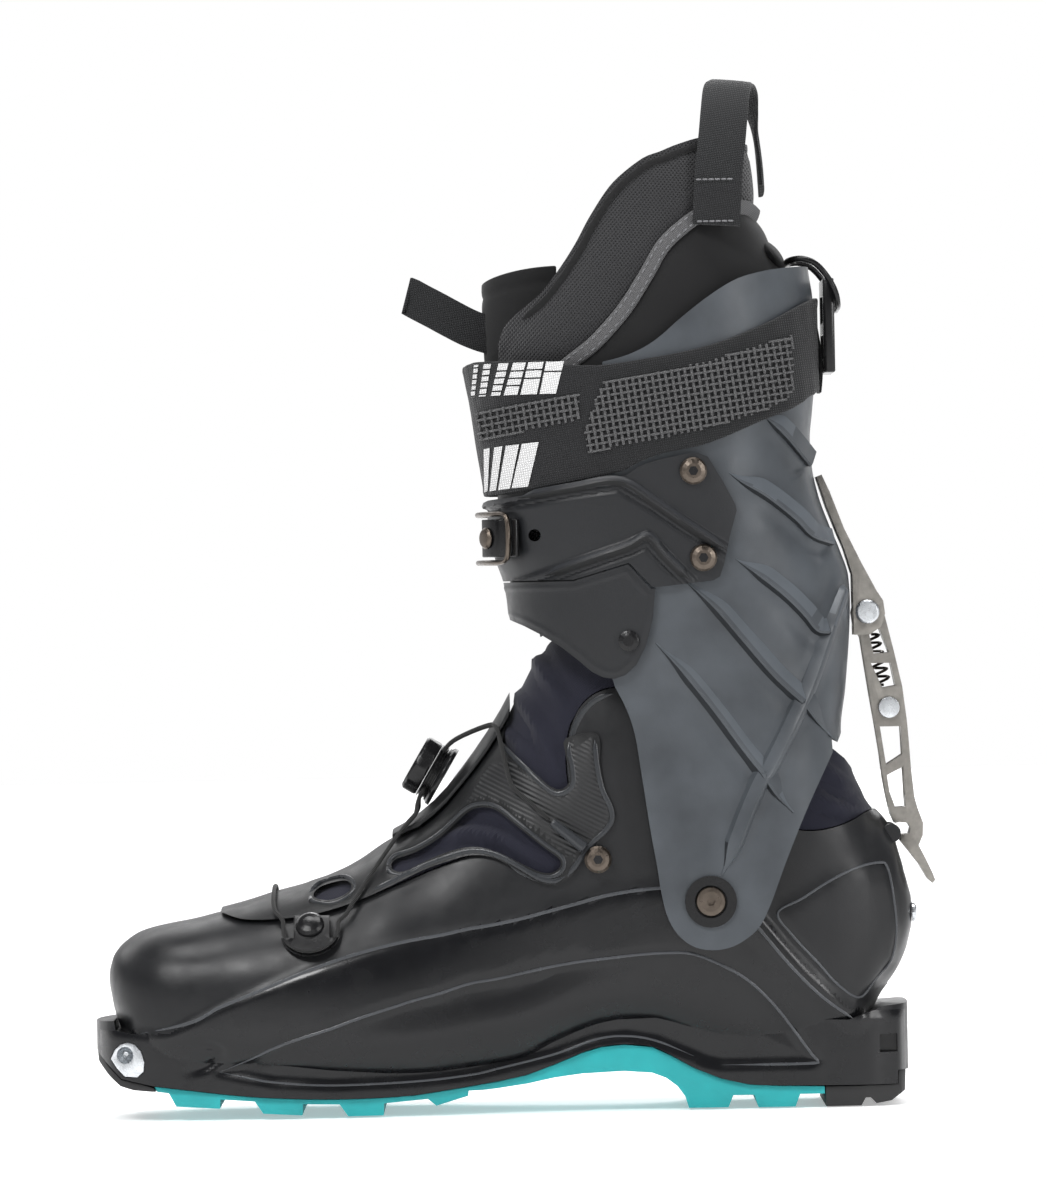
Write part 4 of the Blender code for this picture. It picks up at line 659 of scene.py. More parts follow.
def boolean(target, cutter, op):
    mod = target.modifiers.new("bool", "BOOLEAN")
    mod.solver = "MANIFOLD"
    mod.operation = op
    mod.object = cutter
    dep = bpy.context.evaluated_depsgraph_get()
    mesh = bpy.data.meshes.new_from_object(target.evaluated_get(dep))
    target.modifiers.clear()
    if len(mesh.polygons) == 0:
        print("EMPTY BOOLEAN", target.name, cutter.name)
    target.data = mesh
    bpy.data.objects.remove(cutter, do_unlink=True)
    soften(target)
    return target


def cut(target, cutter):
    return boolean(target, cutter, "DIFFERENCE")


def join(target, other):
    return boolean(target, other, "UNION")


def keep(target, cutter):
    return boolean(target, cutter, "INTERSECT")


def bevel(obj, width, segments=2, angle=38.0):
    mod = obj.modifiers.new("bevel", "BEVEL")
    mod.width = width * M
    mod.segments = segments
    mod.limit_method = "ANGLE"
    mod.angle_limit = math.radians(angle)
    mod.use_clamp_overlap = True
    mod.harden_normals = False
    return obj


def put(obj, body, slot, *nodes):
    """Rides on a body and stands for the CAD nodes named, which it hides; the slot is not used."""
    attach(obj, body)
    if nodes:
        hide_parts(*nodes)
    return obj


def normals(grid, wrap):
    """Unit normals of a grid of points, by differences along its rows and columns."""
    du = np.gradient(grid, axis=0)
    if wrap:
        dv = np.roll(grid, -1, 1) - np.roll(grid, 1, 1)
    else:
        dv = np.gradient(grid, axis=1)
    n = np.cross(du, dv)
    n /= np.maximum(np.linalg.norm(n, axis=-1), 1e-9)[..., None]
    centre = grid.reshape(-1, 3).mean(0)
    if ((grid - centre) * n).sum() < 0:
        n = -n
    return n


def ease(t):
    t = np.clip(t, 0, 1)
    return t * t * (3 - 2 * t)


def line_distance(x, z, line):
    """Distance to a polyline in X, Z, the side it lies on (+ above) and how far along, 0 to 1."""
    best = np.full(np.shape(x), 1e9)
    sign = np.ones(np.shape(x))
    along = np.zeros(np.shape(x))
    pts = np.array(line, float)
    lengths = np.linalg.norm(np.diff(pts, axis=0), axis=1)
    total = lengths.sum()
    done = 0.0
    for (x0, z0), (x1, z1), size in zip(pts[:-1], pts[1:], lengths):
        dx = x1 - x0
        dz = z1 - z0
        t = np.clip(((x - x0) * dx + (z - z0) * dz) / size ** 2, 0, 1)
        far = np.hypot(x - x0 - t * dx, z - z0 - t * dz)
        side = np.sign(dx * (z - z0) - dz * (x - x0))
        near = far < best
        best = np.where(near, far, best)
        sign = np.where(near, side, sign)
        along = np.where(near, (done + t * size) / total, along)
        done += size
    return best, sign, along


def inside(x, z, outline):
    """True inside a closed outline in X, Z."""
    pts = np.array(outline, float)
    hit = np.zeros(np.shape(x), bool)
    for (x0, z0), (x1, z1) in zip(pts, np.roll(pts, -1, 0)):
        if z0 == z1:
            continue
        cross = ((z0 > z) != (z1 > z)) & (x < (x1 - x0) * (z - z0) / (z1 - z0) + x0)
        hit ^= cross
    return hit


def depth_in(x, z, outline):
    """Signed distance into a closed outline, positive inside."""
    d, _, _ = line_distance(x, z, list(outline) + [outline[0]])
    return np.where(inside(x, z, outline), d, -d)


def bead(d, width):
    return np.exp(-(d / width) ** 2)


def surface_tree(obj):
    """Tree for finding points on a piece's surface."""
    verts = [v.co.copy() for v in obj.data.vertices]
    return BVHTree.FromPolygons(verts, [tuple(p.vertices) for p in obj.data.polygons])


def on_surface(tree, line, side, smooth=7):
    """The line (X, Z) carried sideways onto the surface, its Y evened out."""
    found = []
    for x, z in line:
        start = Vector(((x + SHIFT_X) * M, side * 0.12, z * M))
        hit, _, _, _ = tree.ray_cast(start, Vector((0, -side, 0)))
        if hit and hit.y * side > 0:
            found.append((x, hit.y / M, z))
    pts = np.array(found)
    pad = smooth // 2
    padded = np.concatenate([np.repeat(pts[:1, 1], pad), pts[:, 1], np.repeat(pts[-1:, 1], pad)])
    pts[:, 1] = np.convolve(padded, np.ones(smooth) / smooth, "valid")
    return pts


def lay_line(name, tree, line, side, section, mat, body, slot, closed=False, taper=(0, 0), sink=0.0):
    """Bead, rib or piping laid along a line on a surface; taper is the share that fades at each end."""
    route = spline(line, 1.2, closed)
    pts = on_surface(tree, route, side)
    pts[:, 1] -= side * sink
    t = np.linspace(0, 1, len(pts))
    sizes = None
    if max(taper) > 0:
        sizes = 0.12 + 0.88 * ease(t / max(taper[0], 0.001)) * ease((1 - t) / max(taper[1], 0.001))
    mirrored = [(-side * a, b) for a, b in section]
    return put(sweep(name, pts, mirrored, mat, (0, side, 0), closed, sizes), body, slot)


def paint(obj, keys, which):
    """Gives each face one of the finishes: which(x, y, z, normals) returns its index."""
    obj.data.materials.clear()
    for key in keys:
        obj.data.materials.append(MATS[key])
    count = len(obj.data.polygons)
    centres = np.zeros(count * 3, np.float32)
    facing = np.zeros(count * 3, np.float32)
    obj.data.polygons.foreach_get("center", centres)
    obj.data.polygons.foreach_get("normal", facing)
    c = centres.reshape(-1, 3) / M - (SHIFT_X, 0, 0)
    index = which(c[:, 0], c[:, 1], c[:, 2], facing.reshape(-1, 3))
    obj.data.polygons.foreach_set("material_index", np.asarray(index, np.int32))


# ---- cuff ----
CUFF_SIDE = [(44.2, 152.2), (48, 144.5), (51, 135), (53.2, 120), (56, 100), (58, 88), (59.4, 78),
             (61.4, 69.6), (65, 63.2), (70.4, 58.9), (77, 57.4), (84, 58.4), (90, 61.6), (94.6, 66),
             (98.6, 74), (104, 88), (109, 100), (113, 109), (118.4, 120), (122.5, 128), (126.4, 135)]
CUFF_TOP = [(118.2, 302.4), (110, 301.6), (100, 300), (90, 297), (80, 291), (70, 283.4), (63, 277.4),
            (57, 273.4), (50, 270.4), (42, 268.4)]
SPINE = [(127.5, 187), (123, 176), (113, 150), (100, 124), (96, 118), (90, 105), (84, 90), (81, 84)]
RIBS = [[(99, 248.4), (107, 241), (116, 230.5)],
        [(86, 228), (91, 224.4), (100, 219), (110, 211), (116, 205), (124, 202)],
        [(88, 197), (95, 192), (105, 184), (112, 177), (117, 171), (122, 170)],
        [(69, 190.5), (80, 180), (90, 168), (100, 156), (107, 149), (112, 144.5)],
        [(59, 167.5), (65, 161), (70, 155), (80, 142), (90, 128), (97, 119)]]
TAILS = [[(110.5, 146.5), (117, 137.5), (124, 130)], [(95.5, 121), (101, 112.5), (107, 106)]]
RIB = [(-5.2, -0.9), (-1.7, 1.8), (-0.7, 2.4), (0.2, 2.2), (2.6, -1.3)]
SPINE_RIB = [(-3.2, -0.9), (-2.3, 1.7), (-1.5, 2.3), (-0.7, 1.9), (2.6, 1.6), (4.2, -0.9)]
# finishes for painted light on the ribs: plain, painted shade, painted highlight
RIB_PAINTED_LIGHT = ("cuff_plastic", "cuff_painted_shade", "cuff_painted_highlight")


def rib_painted_light(x, y, z, facing):
    """Painted shade on the ribs' downward-facing undersides and a painted highlight on their upward-facing
    crests; other faces keep the plain slate.
    """
    down = -0.62 * facing[:, 0] - 0.78 * facing[:, 2]
    return np.where(down > 0.42, 1, np.where(down < -0.52, 2, 0))


def cuff_relief(x, z):
    """Broad moulded forms over the cuff's side, mm outwards: hollows under each rib."""
    h = 0.12 * np.sin(x / 13.0 + z / 23.0)
    for line in RIBS:
        d, side, along = line_distance(x, z, line)
        h = h - 1.1 * along * bead(d - 4.0, 3.2) * (side < 0) * ease((1 - along) / 0.04)
        h = h + 0.5 * bead(d, 5.0)
    d, side, along = line_distance(x, z, SPINE)
    h = h + 0.9 * ease((5.5 - d) / 4.0) * ease((1 - along) / 0.15)
    # the arm stands a little proud of a shallow hollow in front of the lowest rib
    h = h - 0.7 * bead(line_distance(x, z, [(62, 150), (70, 120), (74, 98)])[0], 7.0)
    return h


def make_cuff():
    z = np.concatenate([np.linspace(52, 250, 190), np.linspace(252, 308, 34)])[:, None]
    a = np.linspace(0, 2 * math.pi, 264, endpoint=False)[None, :]
    outer = shaft_surface(a, z + 0 * a, 0.0)
    n = normals(outer, True)
    x = outer[..., 0]
    zz = outer[..., 2]
    on_side = ease((np.abs(n[..., 1]) - 0.25) / 0.3)
    fade = ease((262 - zz) / 10)
    lift = cuff_relief(x, zz) * on_side * fade
    # a facet cut across the back corner above the spine
    corner = bead(line_distance(x, zz, [(122, 199), (126, 184)])[0], 7.0) * (x > 110)
    lift = lift - 0.9 * corner * on_side
    outer = outer + n * lift[..., None]
    inner_z = np.linspace(52, 308, 60)[:, None]
    inner = shaft_surface(a, inner_z + 0 * a, -CUFF_WALL)
    cuff = wall("cuff_body", outer, inner, "cuff_plastic")
    side_line = spline(CUFF_SIDE, 2.0).tolist() + [(140, 137), (140, 300)]
    side_line += spline(CUFF_TOP, 2.0).tolist() + [(41, 262), (42, 160)]
    keep(cuff, prism("side", side_line, -80, 80))
    for side in (-1, 1):
        a, b = sorted((side * 40, side * 60))
        cut(cuff, turned("bore", (PIVOT[0], a, PIVOT[1]), (0, 1, 0), [(6.3, 0), (6.3, 20)], None))
        # round seat for the pivot washer
        a, b = sorted((side * 48.6, side * 60))
        cut(cuff, turned("seat", (PIVOT[0], a, PIVOT[1]), (0, 1, 0), [(9.6, 0), (9.6, b - a)], None))
    cut(cuff, turned("sweep", (PIVOT[0], -35, PIVOT[1]), (0, 1, 0), [(73.0, 0), (73.0, 70)], None, 90))
    tree = surface_tree(cuff)
    bevel(cuff, 0.5)
    put(cuff, "cuff", "cuff_plastic", "cuff_shell")
    for label, side in SIDES:
        for i, line in enumerate(RIBS + TAILS):
            name = "cuff_rib_%s_%d" % (label, i)
            ends = (0.3, 0.02) if i < len(RIBS) else (0.02, 0.9)
            rib = lay_line(name, tree, line, side, RIB, "cuff_plastic", "cuff", "cuff_plastic", taper=ends)
            # painted shade under each rib and a painted highlight on its crest
            paint(rib, RIB_PAINTED_LIGHT, rib_painted_light)
        spine = lay_line("cuff_spine_" + label, tree, SPINE, side, SPINE_RIB, "cuff_plastic", "cuff",
                         "cuff_plastic", taper=(0.02, 0.12))
        # the same painted shade and painted highlight on the spine
        paint(spine, RIB_PAINTED_LIGHT, rib_painted_light)


make_cuff()

# ---- lower shell ----
SOLE_TOP_LINE = [(-123.5, 12.0), (-120, 11.6), (-110, 10.3), (-100, 9.0), (-90, 7.9), (-80, 7.2), (-70, 6.7),
                 (-60, 6.4), (-50, 6.4), (-40, 6.6), (-30, 7.1), (-20, 8.4), (-10, 9.8), (0, 11.3),
                 (10, 13.3), (20, 16.8), (30, 20.8), (37, 22.8), (45, 23.5), (55, 22.5), (62, 19.2),
                 (70, 14.7), (80, 10.6), (90, 8.3), (100, 7.7), (117, 7.4)]
PLAN_HALF = [(-145.3, 0.5), (-145.0, 9), (-144, 16), (-142, 22), (-139, 27), (-134, 31.5), (-126, 36),
             (-112, 40), (-95, 43.5), (-75, 45.5), (-55, 45), (-35, 42), (-15, 38), (5, 35), (30, 33.5),
             (60, 33.5), (90, 34.5), (117, 34.5), (132, 33), (141, 29.5), (145, 26), (147.3, 20), (148, 12),
             (148.2, 1)]
RIM = [(-101, 73.4), (-96, 71.6), (-90, 71.0), (-80, 71.5), (-70, 72.5), (-60, 74), (-50, 77), (-40, 80.5),
       (-30, 84.5), (-20, 88.5), (-10, 92), (-3, 93), (3, 91.2), (10, 87), (17, 84.2), (23, 84.8), (27, 88),
       (29, 94), (29, 104), (27.5, 114), (26.5, 124), (27, 133), (29, 140), (32.5, 146), (38, 150.2),
       (46, 151.8), (62, 151), (74, 146), (84, 134), (92, 118), (99, 106), (106, 100.5), (113, 99),
       (121, 99.8), (128, 102), (134, 105), (139, 106)]
BAND_TOP = [(-146, 32), (-137, 32), (-120, 31), (-110, 35), (-100, 40), (-90, 44), (-80, 48), (-70, 52),
            (-60, 55.5), (-50, 58.5), (-40, 61), (-30, 63), (-20, 64.5), (-10, 66.5), (0, 68), (10, 70),
            (20, 72.5), (30, 75), (40, 77.5), (55, 79.5), (75, 80)]
BAND_END = [(90, 76), (104, 58), (116, 45), (130, 34), (150, 34)]
PAD = [(-100, 17), (-90, 21), (-80, 25.5), (-70, 29), (-60, 32), (-50, 35.5), (-40, 38.5), (-30, 41.5),
       (-20, 44), (-10, 47), (0, 48.5), (10, 50.5), (20, 52.5), (30, 54), (40, 55), (50, 56), (60, 56.5),
       (70, 56), (80, 52), (90, 46), (100, 36), (112, 19.5), (114, 17), (112, 15.6), (80, 15.6), (74, 17),
       (70, 19), (57, 24.6), (46, 26.6), (35, 25.6), (20, 20.6), (0, 16), (-10, 14), (-30, 12.2), (-60, 11.6),
       (-80, 13), (-90, 14.8)]
CRESCENT = [(-111, 27), (-106, 27.2), (-102, 26.8), (-99.4, 25.2), (-99.4, 23), (-101.4, 21), (-105, 19),
            (-111, 17)]
HEEL_PANEL = [(101, 70), (110, 75), (120, 81), (130, 85.5), (138, 87), (141, 85.6), (143, 76), (144, 63),
              (142, 52), (136, 45), (130, 38.8), (122, 44), (115, 52), (106, 62)]
TOE_INSERT = [(-139.3, 22.0), (-137.8, 25.2), (-135.6, 27.2), (-133, 28), (-130.4, 27.2), (-128.2, 24.8),
              (-127, 20.8), (-127.4, 17.6), (-129.6, 15.6), (-134.2, 15.8), (-137, 18.6)]


def shell_relief(x, z):
    """Moulded relief of the shell's sides, mm outwards; its crisp edges are laid on as lines in a lighter
    finish that paints their highlight.
    """
    top = np.where(x < 75, table(BAND_TOP, x), table(BAND_END, x))
    below = (top - z) * 0.94
    h = 1.3 * ease((below + 2.6) / 5.2)
    pad = depth_in(x, z, PAD)
    h = h - 1.4 * ease((pad + 2.4) / 4.8) + 1.3 * ease((pad - 2) / 16)
    d, _, along = line_distance(x, z, CRESCENT)
    h = h - 1.2 * ease((2.8 - d) / 2.6) * np.sin(math.pi * np.clip(along * 0.9 + 0.05, 0, 1))
    heel = depth_in(x, z, HEEL_PANEL)
    h = h + 1.0 * ease((heel + 2.2) / 4.4)
    # low buttress from the pivot down to the heel ledge
    d, _, _ = line_distance(x, z, [(93, 66), (110, 48), (128, 32)])
    return h + 0.8 * ease((6.4 - d) / 4.0)


def bead_fade(x, z):
    """No relief near the toe cap's nose and the heel's back, where the sides turn away."""
    return ease((x + 143) / 8) * ease((149 - x) / 5)


# lines along the shell's edges, laid in the lighter finish as a painted highlight
SHELL_LINES = [("band_line", [(-128, 31.2)] + BAND_TOP[3:], False, 1.3),
               ("pad_line", PAD[:25], False, 1.1),
               ("pad_foot", PAD[26:] + PAD[:1], False, 0.9),
               ("heel_line", HEEL_PANEL, True, 1.0),
               ("buttress_line", [(90, 70), (104, 52.5), (116, 40), (128, 31)], False, 1.2)]
RIM_LIP = [(4, 90.0), (10, 86.2), (17, 83.4), (23, 84.0), (28, 88.4), (30.2, 96), (30, 106), (28.6, 116),
           (27.6, 126), (28.4, 133.6), (30.4, 139.4), (34, 144.8), (39.4, 148.6), (45, 150)]


def in_band(x, y, z, facing):
    """Glossy below the band's edge on the sides, satin above it."""
    top = np.where(x < 75, table(BAND_TOP, x), table(BAND_END, x))
    return ((z < top) & (np.abs(facing[:, 1]) > 0.3)).astype(int)


def make_shell():
    x = np.concatenate([np.linspace(-140, -132, 14), np.linspace(-131, 140, 232),
                        np.linspace(140.6, 150, 16)])
    a = np.linspace(0, 2 * math.pi, 216, endpoint=False)
    rings = foot_surface(x[:, None], a[None, :], 0.0)
    n = normals(rings, True)
    side = ease((np.abs(n[..., 1]) - 0.2) / 0.35)
    lift = shell_relief(rings[..., 0], rings[..., 2]) * side * bead_fade(rings[..., 0], rings[..., 2])
    rings = rings + n * lift[..., None]
    shell = block("shell_body", rings, "shell_plastic")
    # sole block: walls that follow the plan of the sole, with the same relief
    px = spline([(q, w) for q, w in PLAN_HALF], 1.2)
    loop = np.concatenate([px, px[::-1] * (1, -1)])
    zs = np.linspace(3, 37, 36)
    grid = np.zeros((len(zs), len(loop), 3))
    grid[..., 0] = loop[None, :, 0]
    grid[..., 1] = loop[None, :, 1] + table(Y_MID, loop[:, 0])[None, :]
    grid[..., 2] = zs[:, None]
    n = normals(grid, True)
    side = ease((np.abs(n[..., 1]) - 0.4) / 0.3)
    lift = (shell_relief(grid[..., 0], grid[..., 2]) - 0.9) * side * bead_fade(grid[..., 0], grid[..., 2])
    sole = block("block", grid + n * lift[..., None], "shell_plastic")
    line = [(-147.5, 33), (-147, 26.9), (-140.5, 19.9), (-135.5, 14.9), (-128, 13.2)]
    line += [(q, w + 0.25) for q, w in spline(SOLE_TOP_LINE, 2.5).tolist()]
    line += [(143.4, 7.4), (143.6, 12.3), (151, 12.3), (151, 36.6), (139, 35.5), (126, 31), (60, 33),
             (-60, 30), (-132, 31), (-137.3, 32), (-138, 35.6), (-147.5, 35)]
    keep(sole, prism("line", line, -70, 70))
    join(shell, sole)
    for side in (-1, 1):
        join(shell, turned("boss", (PIVOT[0], side * 38, PIVOT[1]), (0, side, 0), [(16, 0), (14, 6.6)], None))
    floor_x = np.array([-136, -133, -128, -120, -106, -88, -66, -44, -24, -8, 6, 20, 36, 60, 85, 105, 118,
                        127, 134, 140, 144, 146.3])
    hollow = foot_surface(floor_x[:, None], np.linspace(0, 2 * math.pi, 64, endpoint=False)[None, :],
                          -SHELL_WALL, table(FLOOR, floor_x)[:, None])
    cut(shell, block("hollow", hollow, None))
    rim = spline(RIM, 2.0).tolist()
    cut(shell, prism("opening", rim + [(139, 260), (-101, 260)], -70, 70))
    cx = sum(p[0] for p in TOE_INSERT) / len(TOE_INSERT)
    cz = sum(p[1] for p in TOE_INSERT) / len(TOE_INSERT)
    pocket = [(cx + (p - cx) * 1.05, cz + (q - cz) * 1.05) for p, q in TOE_INSERT]
    cut(shell, prism("pocket", pocket, -60, 60))
    cut(shell, box("pocket", (143.9, -16.3, 12), (152, 16.3, 28.3)))
    for side in (-1, 1):
        a, b = sorted((side * 24, side * 50))
        cut(shell, box("notch", (137, a, 19), (143.5, b, 25.5)))
    arc = [(PIVOT[0] + 71.2 * math.cos(math.radians(t)), PIVOT[1] + 71.2 * math.sin(math.radians(t)))
           for t in np.linspace(-27, 43.4, 60)]
    cut(shell, prism("channel", arc + [(130, 170), (180, 150), (170, 44)], -11, 11))
    bar = (PIVOT[0] + 70.0 * math.cos(math.radians(18.6)), PIVOT[1] + 70.0 * math.sin(math.radians(18.6)))
    for side in (-1, 1):
        lug = turned("lug", (bar[0], side * 13.2 - 1.95, bar[1]), (0, 1, 0), [(3.4, 0), (3.4, 3.9)], None)
        join(shell, lug)
    cut(shell, turned("seat", (bar[0], -11.12, bar[1]), (0, 1, 0), [(3.0, 0), (3.0, 22.24)], None))
    cut(shell, turned("hole", (bar[0], -14.3, bar[1]), (0, 1, 0), [(2.1, 0), (2.1, 28.6)], None))
    paint(shell, ("shell_plastic", "shell_gloss"), in_band)
    tree = surface_tree(shell)
    bevel(shell, 0.45)
    put(shell, "root", "shell_plastic", "lower_shell")
    for label, side in SIDES:
        for part_name, line, closed, width in SHELL_LINES:
            # bead in the lighter finish: painted highlight along the edge
            lay_line(part_name + "_" + label, tree, line, side, flat_section(width, 0.45, 0.1, 0.7),
                     "edge_highlight", "root", "shell_plastic", closed, (0, 0) if closed else (0.08, 0.08))
        lay_line("rim_lip_" + label, tree, RIM_LIP, side, flat_section(2.2, 0.8), "piping_film", "root",
                 "shell_plastic", taper=(0.06, 0.06), sink=0.1)


make_shell()


# ---- flaps over the shin ----
FLAP_UP = [(-4, 214), (-1.8, 219.2), (0, 220.0), (10, 221), (20, 222.6), (30, 224.4), (46, 226.6), (50, 228),
           (54, 230.8), (60, 232.8), (70, 234.8), (75.4, 235.2), (78.8, 233.8), (84, 225), (88.4, 216.6),
           (88.8, 214.4), (86, 204.6), (84, 195.6), (82.4, 191), (80, 189.6), (70, 188.6), (60, 187.6),
           (58, 187.8), (50, 196.5), (30, 190.8), (5, 190.8), (-4, 190.8)]
FLAP_LOW = [(0, 190.3), (5, 177.0), (7, 176.8), (12, 174.6), (18, 171.4), (25, 167), (31, 162.2), (36, 157.8),
            (40, 155.7), (44, 155.1), (48, 156.4), (52, 160), (55.6, 167), (58, 176), (59.2, 187.0),
            (57.6, 187.0), (49.6, 195.9), (30, 190.3)]
FLAP_RIDGES = [[(-2, 218.6), (11, 220.6), (30, 223.6), (47, 225.6), (60, 217.6), (72, 209), (87, 199)],
               [(10, 189.4), (20, 192.6), (30, 196), (40, 199.2), (50, 202.4), (57, 205.6), (63.4, 198.4),
                (72, 189.6)]]
FLAP_HOLE = (16.5, 207.0)
FLAP_RIDGE = [(-1.9, -0.5), (-0.7, 0.8), (0.0, 1.0), (0.5, 0.8), (1.9, -0.6)]


def flap_ridge_painted_light(x, y, z, facing):
    """Painted shade on the undersides and a painted highlight on the crests of the flap's ridges, picked by
    which way each face points.
    """
    return np.where(facing[:, 2] < -0.32, 1, np.where(facing[:, 2] > 0.45, 2, 0))




def flap_relief(x, z):
    h = 0.12 * np.sin(x / 9.0)
    for line in FLAP_RIDGES:
        d, side, _ = line_distance(x, z, line)
        h = h + np.where(side > 0, 1.35 * ease((2.6 - d) / 1.8), 1.35 * ease((1.7 - d) / 0.7))
        h = h - 0.75 * bead(d - 2.9, 0.8) * (side < 0)
    return h


def make_flap(name, outline, zs, gap, side, relief):
    a = side * np.radians(np.linspace(50, 179.9, 190))
    z = np.linspace(zs[0], zs[1], 78)[:, None]
    outer = shaft_surface(a[None, :], z + 0 * a[None, :], FLAP_GAP + FLAP_T)
    n = normals(outer, False)
    n = n * np.sign((n * (outer - np.array((40, 0, 200)))).sum(-1))[..., None]
    outer = outer + n * relief(outer[..., 0], outer[..., 2])[..., None]
    inner = shaft_surface(a[None, :], z + 0 * a[None, :], FLAP_GAP)
    flap = sheet_solid(name + "_shell", outer, inner, "flap_plastic")
    lo, hi = sorted((side * gap, side * 80))
    keep(flap, prism("side", outline, lo, hi))
    if name.startswith("flap_upper"):
        lo, hi = sorted((side * 20, side * 70))
        at = (FLAP_HOLE[0], lo, FLAP_HOLE[1])
        cut(flap, turned("hole", at, (0, 1, 0), [(2.2, 0), (2.2, 50)], None, 32))
    tree = surface_tree(flap)
    bevel(flap, 0.4)
    put(flap, "cuff", "flap_plastic", name)
    if name.startswith("flap_upper"):
        for i, line in enumerate(FLAP_RIDGES):
            ridge = lay_line("%s_ridge_%d" % (name, i), tree, line[1:], side, FLAP_RIDGE, "flap_plastic",
                             "cuff", "flap_plastic", taper=(0.08, 0.08))
            # painted shade on the ridge's downward faces, painted highlight on its upward faces
            paint(ridge, ("flap_plastic", "flap_painted_shade", "flap_painted_highlight"), flap_ridge_painted_light)


def plain_relief(x, z):
    return 0.25 * bead(depth_in(x, z, FLAP_LOW) - 2.2, 0.8) + 0.0 * x


def make_tuck(name, x0, x1, z0, z1, side):
    """Hidden edge of one flap lying behind the next, so that no light shows between them."""
    outer = np.zeros((9, 24, 3))
    inner = np.zeros((9, 24, 3))
    for i, z in enumerate(np.linspace(z0, z1, 9)):
        for k, x in enumerate(np.linspace(x0, x1, 24)):
            outer[i, k] = shaft_side(x, z, 0.1, side)
            inner[i, k] = shaft_side(x, z, -1.5, side)
    put(sheet_solid(name + "_" + side_name(side), outer, inner, "flap_plastic"), "cuff", "flap_plastic")


def side_name(side):
    return dict((b, a) for a, b in SIDES)[side]


for label, side in SIDES:
    make_tuck("flap_tuck", 6.5, 41, 186, 196, side)
    make_tuck("flap_tuck_top", 3.5, 41, 216, 226, side)
    make_flap("flap_upper_" + label, FLAP_UP, (187, 236), 7.0, side, flap_relief)
    make_flap("flap_lower_" + label, FLAP_LOW, (154.5, 197), 5.0, side, plain_relief)

# ---- power strap ----
STRAP_TOP = [(-9, 267), (0, 269.8), (20, 269.5), (28, 268), (40, 267.2), (60, 269.5), (80, 273.5), (100, 281),
             (115, 289), (121, 292)]
STRAP_LOW = [(-9, 221.6), (0, 221.8), (10, 222.8), (20, 224.4), (30, 226.2), (46, 229.2), (54, 232.8),
             (60, 234.8), (70, 236.8), (76, 237.9), (84, 240.4), (100, 247), (110, 251), (117, 256),
             (121, 258)]
MESH_PANEL = [(42, 261), (60, 264), (80, 268), (100, 274), (110, 277), (111, 265), (110, 255), (100, 250),
              (80, 244), (60, 240), (36, 236), (35, 243), (39, 255)]
MESH_SMALL = [(-4, 252), (10, 254), (34, 257.4), (33, 247.6), (10, 243.6), (-3, 241.6)]
THREAD_PITCH = 2.35


def woven_panel(name, outline, side):
    """Open mesh: two sets of threads crossing over and under, within an outline on the strap."""
    xs = [p[0] for p in outline]
    zs = [p[1] for p in outline]
    verts = []
    faces = []
    tilt = math.radians(8.5)
    u_dir = np.array((math.cos(tilt), math.sin(tilt)))
    v_dir = np.array((-math.sin(tilt), math.cos(tilt)))
    origin = np.array((min(xs), min(zs)))
    reach = max(max(xs) - min(xs), max(zs) - min(zs)) + 20
    count = int(reach / THREAD_PITCH)
    for family in (0, 1):
        along, across = (u_dir, v_dir) if family == 0 else (v_dir, u_dir)
        for i in range(-12, count):
            t = np.arange(-20, reach, THREAD_PITCH / 4)
            at = origin + across * (i * THREAD_PITCH) + along * t[:, None]
            ok = inside(at[:, 0], at[:, 1], outline)
            lift = 2.75 + 0.42 * np.cos(np.pi * (t / THREAD_PITCH + i + family))
            run = []
            for k in range(len(t) + 1):
                if k < len(t) and ok[k]:
                    run.append((at[k, 0], at[k, 1], lift[k]))
                    continue
                if len(run) > 3:
                    add_thread(verts, faces, run, side, 0.42 if family == 0 else 0.52)
                run = []
    obj = make(name, np.array(verts), faces, "strap_thread", 60)
    put(obj, "cuff", "webbing")


def add_thread(verts, faces, run, side, r):
    pts = np.array([shaft_side(x, z, d, side) for x, z, d in run])
    t = np.gradient(pts, axis=0)
    t /= np.linalg.norm(t, axis=1)[:, None]
    out = np.array((0.0, side, 0.0))
    across = np.cross(t, out)
    across /= np.linalg.norm(across, axis=1)[:, None]
    up = np.cross(across, t)
    base = len(verts)
    for k in range(len(pts)):
        for q in range(6):
            a = 2 * math.pi * q / 6
            verts.append(pts[k] + across[k] * r * math.cos(a) + up[k] * r * 0.8 * math.sin(a))
    for k in range(len(pts) - 1):
        for q in range(6):
            m = (q + 1) % 6
            faces.append((base + k * 6 + q, base + k * 6 + m, base + (k + 1) * 6 + m, base + (k + 1) * 6 + q))
    faces.append(tuple(base + q for q in range(6))[::-1])
    faces.append(tuple(base + (len(pts) - 1) * 6 + q for q in range(6)))


def strap_patch(name, corners, side, mat, d0=2.3, d1=2.62, nx=8, nz=14):
    """Thin print on the strap between four corners: low left, low right, top right, top left."""
    (ax, az), (bx, bz), (cx, cz), (dx, dz) = corners
    outer = np.zeros((nz, nx, 3))
    inner = np.zeros((nz, nx, 3))
    for i in range(nz):
        t = i / (nz - 1)
        for k in range(nx):
            s = k / (nx - 1)
            x = (ax + (bx - ax) * s) * (1 - t) + (dx + (cx - dx) * s) * t
            z = (az + (bz - az) * s) * (1 - t) + (dz + (cz - dz) * s) * t
            outer[i, k] = shaft_side(x, z, d1, side)
            inner[i, k] = shaft_side(x, z, d0, side)
    return sheet_solid(name, outer, inner, mat)


